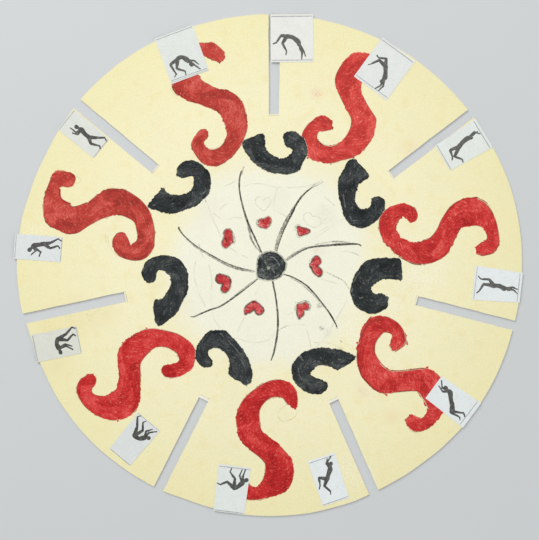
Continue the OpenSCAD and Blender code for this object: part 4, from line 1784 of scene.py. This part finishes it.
@dataclass
class SlotMargins:
    """The strips of bare card at the slots' inner ends, which the wash missed, with their pencil marks."""

    slots: Sequence[Slot]
    depths: tuple[float, ...] = (0.4, 0.25, 0.5, 1.3, 1.4, 0.45, 0.3)
    # How far a strip goes past each side of its slot, and the width of the pencil mark under it
    beyond: float = 0.3
    mark_width: float = 0.45
    # Where the knife left a row of nicks beside a slot: its number, the first one's distance, their count
    nicks: tuple[tuple[int, float, int], ...] = ((4, 76.6, 9), (3, 111.2, 8))
    nick_step: float = 1.5
    nick_length: float = 0.8
    # How far the nicks' middles are from the slot's side
    nick_gap: float = 0.35

    def nick_row(self, slot: Slot, first: float, count: int) -> list[Band]:
        """Draws a row of nicks on the right of a slot.

        Args:
            slot: the slot, taken upright.
            first: where the first nick starts, from the disc's middle.
            count: how many there are.

        Returns:
            The nicks, drawn upright.
        """
        x = -slot.shift - slot.width / 2 - self.nick_gap
        row = []
        for k in range(count):
            y = first + self.nick_step * k
            way = [(x, y, 0.4), (x, y + self.nick_length / 2, 0.5), (x, y + self.nick_length, 0.4)]
            row.append(pencil_line(way, seed=210 + k, cap=0.2))
        return row

    def build(self) -> None:
        """Builds the bare strips, the pencil line under each, and the nicks."""
        strips, marks = bmesh.new(), bmesh.new()
        for number, first, count in self.nicks:
            for nick in self.nick_row(self.slots[number], first, count):
                add_drawn(strips, [nick], Layer.BARE_STRIP, lay(self.slots[number].direction))
        for number, (slot, depth) in enumerate(zip(self.slots, self.depths)):
            inner, half = DISC_RADIUS - slot.length, slot.width / 2 + self.beyond
            # Drawn upright, the slot's left is on the left
            ends = [-slot.shift - half + 2 * half * k / 4 for k in range(5)]
            strip = [(x, inner - depth / 2 - 0.05, depth) for x in ends]
            mark = [(x * 1.05, inner - depth - 0.15, self.mark_width) for x in ends]
            place = lay(slot.direction)
            add_drawn(strips, [pencil_line(strip, seed=160 + number)], Layer.BARE_STRIP, place)
            add_drawn(marks, [pencil_line(mark, seed=170 + number)], Layer.OUTLINE, place)
        write_piece(strips, "bare_slot_ends", (CARD_BACK,))
        write_piece(marks, "slot_end_marks", (SOFT_PENCIL,))


@dataclass(frozen=True)
class Pose:
    """One pose of the little tumbler, drawn upright on its slip, from the slip's middle."""

    pelvis: Point
    waist: Point
    chest: Point
    head: Point
    # Elbow and hand of each arm
    arms: tuple[tuple[Point, Point], tuple[Point, Point]]
    # Knee, ankle and toes of each leg
    legs: tuple[tuple[Point, Point, Point], tuple[Point, Point, Point]]


POSES = (
    Pose((-2.6, 0.9), (0, 0.5), (3, -1.8), (4.5, -5.2),
         (((5.8, -6.6), (6.6, -9)), ((5, -7.6), (4.6, -10.4))),
         (((-5.4, 1.4), (-7.8, -2.1), (-9.5, -2.7)), ((-4.8, -2.5), (-2.7, -6.6), (-3.2, -8.3)))),
    Pose((-0.3, 1.2), (1.2, -0.8), (2.7, -3.4), (2.6, -5.8),
         (((4.6, -7.4), (4, -10.4)), ((3.4, -7.8), (2.1, -10.5))),
         (((-2.4, 4.7), (-5.4, 2.7), (-7.1, 3.2)), ((-4.7, 2), (-6.7, -1.8), (-7.8, -3.1)))),
    Pose((-0.6, -2.1), (-1.6, 0.6), (-2, 3.6), (-1.3, 5.2),
         (((-3, 8.2), (-0.6, 10.1)), ((-2.1, 7.6), (-2.4, 9.6))),
         (((2.4, -6.6), (5.7, -4), (7, -4.6)), ((-1.4, -6.9), (2, -7.5), (3.3, -8.6)))),
    Pose((0.5, -1.6), (0.3, 0.8), (1.2, 3.3), (1.3, 5.8),
         (((0.2, 7.8), (1, 10)), ((1.4, 8.2), (3.1, 10.2))),
         (((-2.4, -4.3), (-2.2, -8.6), (-3.5, -10)), ((0.2, -7), (3.7, -8.6), (4.9, -9.9)))),
    Pose((1.4, 0.7), (-0.3, -1.4), (-2.8, -3.6), (-3.3, -6.7),
         (((-2.4, -8.4), (-5, -10.6)), ((-0.9, -6.9), (-2.1, -10.1))),
         (((3.9, 3.4), (1.4, 7.9), (2.6, 9.4)), ((5, 2.3), (4.3, 7.4), (5.4, 8.4)))),
    Pose((0.7, -0.4), (-0.6, -2.2), (-2.2, -4.5), (-3.5, -7),
         (((-1.3, -7.6), (-2.6, -10.1)), ((-2.2, -8.6), (-4.6, -10.6))),
         (((3, 2.4), (0.9, 6), (1.3, 7.4)), ((4.3, -2.3), (4.9, 1.3), (6, 3.2)))),
    Pose((-1, -0.8), (-2.7, -1.6), (-4.4, -3.4), (-6.6, -5.4),
         (((-4.7, -7.3), (-5.5, -10.5)), ((-3, -7.1), (-3.9, -10.3))),
         (((2.8, -3.5), (6, -1.6), (7.5, -2.2)), ((-0.9, -5.4), (2, -8.5), (1.4, -10.4)))),
    Pose((1.3, -1.6), (-0.9, -1.6), (-2.7, -3.1), (-4.9, -5),
         (((-3.5, -7.3), (-6.1, -10.1)), ((-2, -6.9), (-3.8, -9.7))),
         (((3, -5.8), (6, -9.7), (5, -11.1)), ((-0.4, -6), (2.1, -9.2), (1.3, -10.7)))),
    Pose((2.4, -1.2), (0.5, -0.2), (-1.7, -0.6), (-4.4, -1.1),
         (((-1.8, -4.5), (-4.3, -7.5)), ((-0.8, -4.3), (-2.4, -7.3))),
         (((3.9, -5.5), (6.8, -9.1), (5.9, -10.7)), ((0.8, -5.6), (3.3, -9.1), (2.1, -10.2)))),
    Pose((2.2, -2.8), (1.6, -0.3), (1, 2.1), (-1.2, 4.1),
         (((-1.6, 1), (-3.6, 3.1)), ((-1.9, -1.5), (-4.2, -0.8))),
         (((2.9, -6.1), (5.3, -9.7), (4.3, -11.3)), ((0.3, -6.1), (1.7, -9.9), (0.4, -10.9)))),
    Pose((0.5, -3.1), (0.5, -0.7), (0.9, 1.9), (0.5, 4.9),
         (((-1.8, 3.3), (-1.8, 7)), ((-1.9, 1.9), (-3.2, 4.6))),
         (((3, -6.4), (5.3, -9.2), (4.6, -11)), ((-1.4, -5.7), (0.7, -10.1), (-0.3, -11)))),
    Pose((-2.8, -1.5), (-0.9, -1.1), (1.2, -3), (2.7, -6.2),
         (((4.6, -5), (6.2, -7.5)), ((4.2, -7.2), (6, -9.9))),
         (((-7.2, -2.8), (-6, -8.3), (-7.4, -9.3)), ((-4.8, -5.7), (-1.3, -8.5), (-1.7, -10.1)))),
)


@dataclass(frozen=True)
class SlipPlace:
    """One slip as it was cut and pasted, with its tint, its printed border lines and any line of painted edge
    shade.
    """

    direction: float
    twist: float
    width: float
    outer_extra: float
    inner_extra: float
    extra_length: float
    past_rim: float
    tint: str
    toner: Toner
    # Each printed line, and one line of painted shade by a paper's edge: its height at its left and right
    # end, from the slip's middle, and its width
    borders: tuple[Spot, ...]


WIDE, NARROW = 20.5, 14.0
SLIP_PLACES = (
    SlipPlace(84.6, 6, WIDE, 0.7, 0.9, 0, 0.1, "#e5e6e0", PALE_TONER,
              ((10.9, 10.9, 0.5), (-10.9, -10.9, 0.42))),
    SlipPlace(59.8, -6, WIDE, -0.2, -0.3, 0.3, -0.2, "#e1e4e0", PALE_TONER,
              ((11, 11, 0.5), (-10.8, -10.8, 0.42))),
    SlipPlace(31.7, -0.5, NARROW, 2.6, 0.5, 0.4, -0.1, "#e1e6e1", PALE_TONER,
              ((10.7, 10.7, 0.5), (-11.2, -11.5, 0.42))),
    SlipPlace(-5.2, -1, NARROW, 1, 3.1, 0, 0.3, "#e4e9e9", PALE_TONER,
              ((10.6, 10.6, 0.42), (-10.9, -11, 0.36))),
    SlipPlace(-36.9, 0.5, NARROW, 1.4, -0.5, 0, 0.3, "#e2e8e7", TONER,
              ((10, 9.7, 0.42),)),
    SlipPlace(-74.9, 3, NARROW, -0.2, 0.1, -0.2, -2.4, "#e4eaea", TONER,
              ((11.1, 11.3, 0.42), (-10.8, -10.6, 0.4))),
    SlipPlace(-99.8, 2.5, NARROW, 1.4, 2.2, -0.3, 0.3, "#e0e5e2", TONER,
              ((11.2, 11.2, 0.5), (-10.8, -10.7, 0.42))),
    SlipPlace(-127.9, -1.5, NARROW, -0.7, 0.2, -0.9, -3.2, "#dadfdd", DARK_TONER,
              ((11.3, 11.2, 0.42), (-11.2, -11.2, 0.3))),
    SlipPlace(-159.6, -9, NARROW, 0, -0.2, -1, 0.1, "#d9dbd0", DARK_TONER,
              ((10.9, 10.9, 0.5), (-11.2, -11.1, 0.3))),
    SlipPlace(175.9, 0, NARROW, -1.6, -1.5, -0.2, 2.9, "#dce1e0", TONER,
              ((11.2, 11.2, 0.36), (-11.5, -11.6, 0.3))),
    SlipPlace(145.1, -5, NARROW, -1.2, -1.8, -0.9, 0, "#dcdfd7", TONER,
              ((10.8, 11, 0.42), (-11.2, -11.1, 0.36))),
    # The last, thinnest line on this slip is painted shade by the paper's inner edge
    SlipPlace(112.9, -2.5, WIDE, -0.4, -0.8, 0.3, 0.6, "#dee2dd", PALE_TONER,
              ((11.2, 11.2, 0.42), (-10.5, -10.8, 0.42), (-11.3, -11.6, 0.25))),
)


@dataclass
class PictureSlip:
    """One paper slip: a hand-cut sheet, its printed border lines, any line of painted edge shade, and its
    figure.
    """

    number: int
    place: SlipPlace
    pose: Pose
    rim: float = DISC_RADIUS
    length: float = 23.8
    paper: float = 0.085
    # Height of the paste between the card and the paper
    paste: float = 0.042
    # How far the paper's corners lift off the card, and how far the scissors strayed
    corner_lift: float = 0.022
    snip: float = 0.1
    # The printed film's height over the paper, its thickness, and how far one shape lies over the last
    print_top: float = 0.006
    print_depth: float = 0.008
    trace: float = 0.0012
    # How far a limb goes past its joint, and the rounding there, as shares of its thickness
    past_joint: float = 0.4
    rounding: float = 0.45

    def long(self) -> float:
        """Length of the slip as it was cut."""
        return self.length + self.place.extra_length

    def matrix(self) -> Matrix:
        """Places the slip's middle on the disc."""
        return lay(self.place.direction, self.rim + self.place.past_rim - self.long() / 2, self.place.twist)

    def top(self) -> float:
        """Height of the paper's upper face."""
        return CARD_TOP + self.paste + self.paper

    def half_width(self, up: float) -> float:
        """Finds half of the slip's width at one height.

        Args:
            up: from -1 at its inner edge to 1 at its outer edge.

        Returns:
            The half width.
        """
        inner = (self.place.width + self.place.inner_extra) / 2
        outer = (self.place.width + self.place.outer_extra) / 2
        return inner + (outer - inner) * (up + 1) / 2

    def lift(self, across: float, up: float) -> float:
        """How far the paper lifts at a place from -1 to 1 across the slip and along it."""
        return self.corner_lift * (0.5 * across**4 + 0.5 * up**4)

    def sheet(self) -> None:
        """Builds the cut paper."""
        bm = bmesh.new()
        grid = bmesh.ops.create_grid(bm, x_segments=14, y_segments=20, size=1.0)
        for vert in grid["verts"]:
            across, up = vert.co.x, vert.co.y
            x, y = across * self.half_width(up), up * self.long() / 2
            snip = self.snip * noise.noise(Vector((x / 6, y / 6, self.number * 4.0)))
            rise = self.top() + self.lift(across, up)
            vert.co = (x + (snip if abs(across) > 0.99 else 0), y + (snip if abs(up) > 0.99 else 0), rise)
        thicken(bm, self.paper)
        bm.transform(self.matrix())
        finish = PrinterPaper(f"printer_paper_{self.number:02d}", tint=self.place.tint)
        piece = write_piece(bm, f"slip_sheet_{self.number:02d}", (finish,))
        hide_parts(f"picture_slip_{self.number:02d}")

    def printed(self, name: str, bands: Sequence[Band], finish: Finish, across: int) -> None:
        """Builds printed shapes, and any line of painted shade, as films that follow the paper.

        Args:
            name: the piece's name.
            bands: the shapes, drawn on the upright slip; each lies a trace over the one before.
            finish: their finish.
            across: an even number of faces across each.
        """
        whole = bmesh.new()
        for order, band in enumerate(bands):
            bm = bmesh.new()
            band.draw(bm, 0.0, spacing=0.25, across=across)
            for vert in bm.verts:
                up = vert.co.y / (self.long() / 2)
                rise = self.lift(vert.co.x / self.half_width(up), up)
                vert.co.z = self.top() + rise + self.print_top + self.trace * order
            thicken(bm, self.print_depth + self.trace * order)
            merge_into(whole, bm)
        whole.transform(self.matrix())
        write_piece(whole, name, (finish,))

    def borders(self) -> None:
        """Builds the thin printed lines across the slip, and any line of painted shade by its edge."""
        bands = []
        for left, right, width in self.place.borders:
            half = self.half_width((left + right) / self.long()) - 0.35
            way = [(half * s, left + (right - left) * (s + 1) / 2, width) for s in (-1, -0.5, 0, 0.5, 1)]
            bands.append(pencil_line(way, seed=self.number + left, rough=0.02))
        self.printed(f"slip_borders_{self.number:02d}", bands, BORDER_TONER_AND_EDGE_SHADE, 2)

    def limb(self, way: Sequence[tuple[Point, float]], seed: float) -> Band:
        """Draws one limb with round ends about its joints.

        Args:
            way: its joints, each with the limb's thickness there.
            seed: what its unevenness starts from.

        Returns:
            The limb as a band.
        """
        places = [Vector(place) for place, _ in way]
        widths = [width for _, width in way]
        places[0] -= (places[1] - places[0]).normalized() * widths[0] * self.past_joint
        places[-1] += (places[-1] - places[-2]).normalized() * widths[-1] * self.past_joint
        points = [(place.x, place.y, width) for place, width in zip(places, widths)]
        stations = pencil_line(points).stations
        return Band(stations, caps=(widths[0] * self.rounding, widths[-1] * self.rounding), seed=seed)

    def figure(self) -> None:
        """Builds the printed figure from its limbs."""
        pose = self.pose

        def between(a: Point, b: Point, share: float) -> Point:
            """Finds a place on the way from one joint to the next."""
            return (a[0] + (b[0] - a[0]) * share, a[1] + (b[1] - a[1]) * share)

        neck = between(pose.chest, pose.head, 0.45)
        shoulder = between(pose.chest, neck, 0.5)
        skull = (between(pose.head, neck, 0.18), between(pose.head, neck, -0.3))
        # Each limb's joints with its thickness there, and what is added to its seed
        limbs = [
            (((pose.pelvis, 2.5), (pose.waist, 2.1), (pose.chest, 2.6), (neck, 1.6)), 0),
            (((pose.chest, 1.5), (neck, 1.2), (pose.head, 1.2)), 1),
            (((skull[0], 2.1), (skull[1], 1.9)), 2),
        ]
        for side, (elbow, hand) in enumerate(pose.arms):
            limbs.append((((shoulder, 1.4), (elbow, 0.95)), 3 + side))
            limbs.append((((elbow, 0.95), (between(elbow, hand, 0.8), 0.65), (hand, 0.75)), 5 + side))
        for side, (knee, ankle, toes) in enumerate(pose.legs):
            thigh = between(pose.pelvis, knee, 0.5)
            limbs.append((((pose.pelvis, 2.2), (thigh, 1.8), (knee, 1.15)), 7 + side))
            limbs.append((((knee, 1.15), (between(knee, ankle, 0.35), 1.2), (ankle, 0.7)), 9 + side))
            limbs.append((((ankle, 0.75), (toes, 0.6)), 11 + side))
        bands = [self.limb(way, self.number * 10.0 + extra) for way, extra in limbs]
        self.printed(f"slip_figure_{self.number:02d}", bands, self.place.toner, 4)

    def build(self) -> None:
        """Builds the slip's sheet, lines and figure."""
        self.sheet()
        self.borders()
        self.figure()


@dataclass
class Studio:
    """The pale floor, the soft lamps and the camera straight above the disc."""

    # Where the photograph's middle falls on the disc
    aim: Vector = Vector((0.55, -1.1, 0.0))
    distance: float = 600.0
    # What the photograph's longer side spans at the card's face
    span: float = 268.9
    sensor: float = 36.0
    # Half of the floor's side and its depth under the disc, in metres
    floor_half: float = 2.5
    floor_depth: float = 0.00001
    # Strength of the light that comes from all round
    air: float = 0.55

    def lamp(self, name: str, place: tuple[float, float, float], size: float, power: float) -> None:
        """Hangs a large soft lamp that looks at the disc.

        Args:
            name: the lamp's name.
            place: where it hangs, in metres.
            size: the side of its square, in metres.
            power: its power in watts.
        """
        light = bpy.data.lights.new(name, "AREA")
        light.shape, light.size, light.energy = "SQUARE", size, power
        lamp = bpy.data.objects.new(name, light)
        lamp.location = place
        lamp.rotation_euler = (-Vector(place)).to_track_quat("-Z", "Y").to_euler()
        bpy.context.scene.collection.objects.link(lamp)

    def floor(self) -> None:
        """Lays the pale floor that the disc lies on."""
        bm = bmesh.new()
        bmesh.ops.create_grid(bm, x_segments=1, y_segments=1, size=self.floor_half)
        bmesh.ops.translate(bm, vec=(0, 0, -self.floor_depth), verts=bm.verts[:])
        mesh = bpy.data.meshes.new("floor")
        bm.to_mesh(mesh)
        bm.free()
        mesh.materials.append(PaintedBoard("matt_painted_board").material())
        floor = bpy.data.objects.new("floor", mesh)
        bpy.context.scene.collection.objects.link(floor)

    def build(self) -> None:
        """Sets the floor, the lamps, the world and the camera."""
        scene = bpy.context.scene
        scene.view_settings.view_transform = "Standard"
        self.floor()
        world = bpy.data.worlds.new("studio_air")
        world.use_nodes = True
        world.node_tree.nodes["Background"].inputs[0].default_value = linear("#ffffff")
        world.node_tree.nodes["Background"].inputs[1].default_value = self.air
        scene.world = world
        self.lamp("key_lamp", (-0.5, 0.8, 1.0), size=0.9, power=11.0)
        self.lamp("fill_lamp", (0.9, -0.5, 1.0), size=1.2, power=3.0)
        camera = bpy.data.cameras.new("camera")
        camera.sensor_width = self.sensor
        camera.lens = self.sensor * self.distance / self.span
        eye = bpy.data.objects.new("camera", camera)
        eye.location = (self.aim.x * MM, self.aim.y * MM, (CARD_TOP + self.distance) * MM)
        scene.collection.objects.link(eye)
        scene.camera = eye


def main() -> None:
    """Builds the disc's pieces in order and logs each one's face count."""
    logging.basicConfig(level=logging.INFO, format="%(name)s: %(message)s")
    Studio().build()
    card = CardSheet()
    card.build()
    Pinwheel().build()
    RedScrolls().build()
    BlackHooks().build()
    SlotMargins(card.slots()).build()
    for number, (place, pose) in enumerate(zip(SLIP_PLACES, POSES), start=1):
        PictureSlip(number, place, pose).build()


if __name__ == "__main__":
    main()
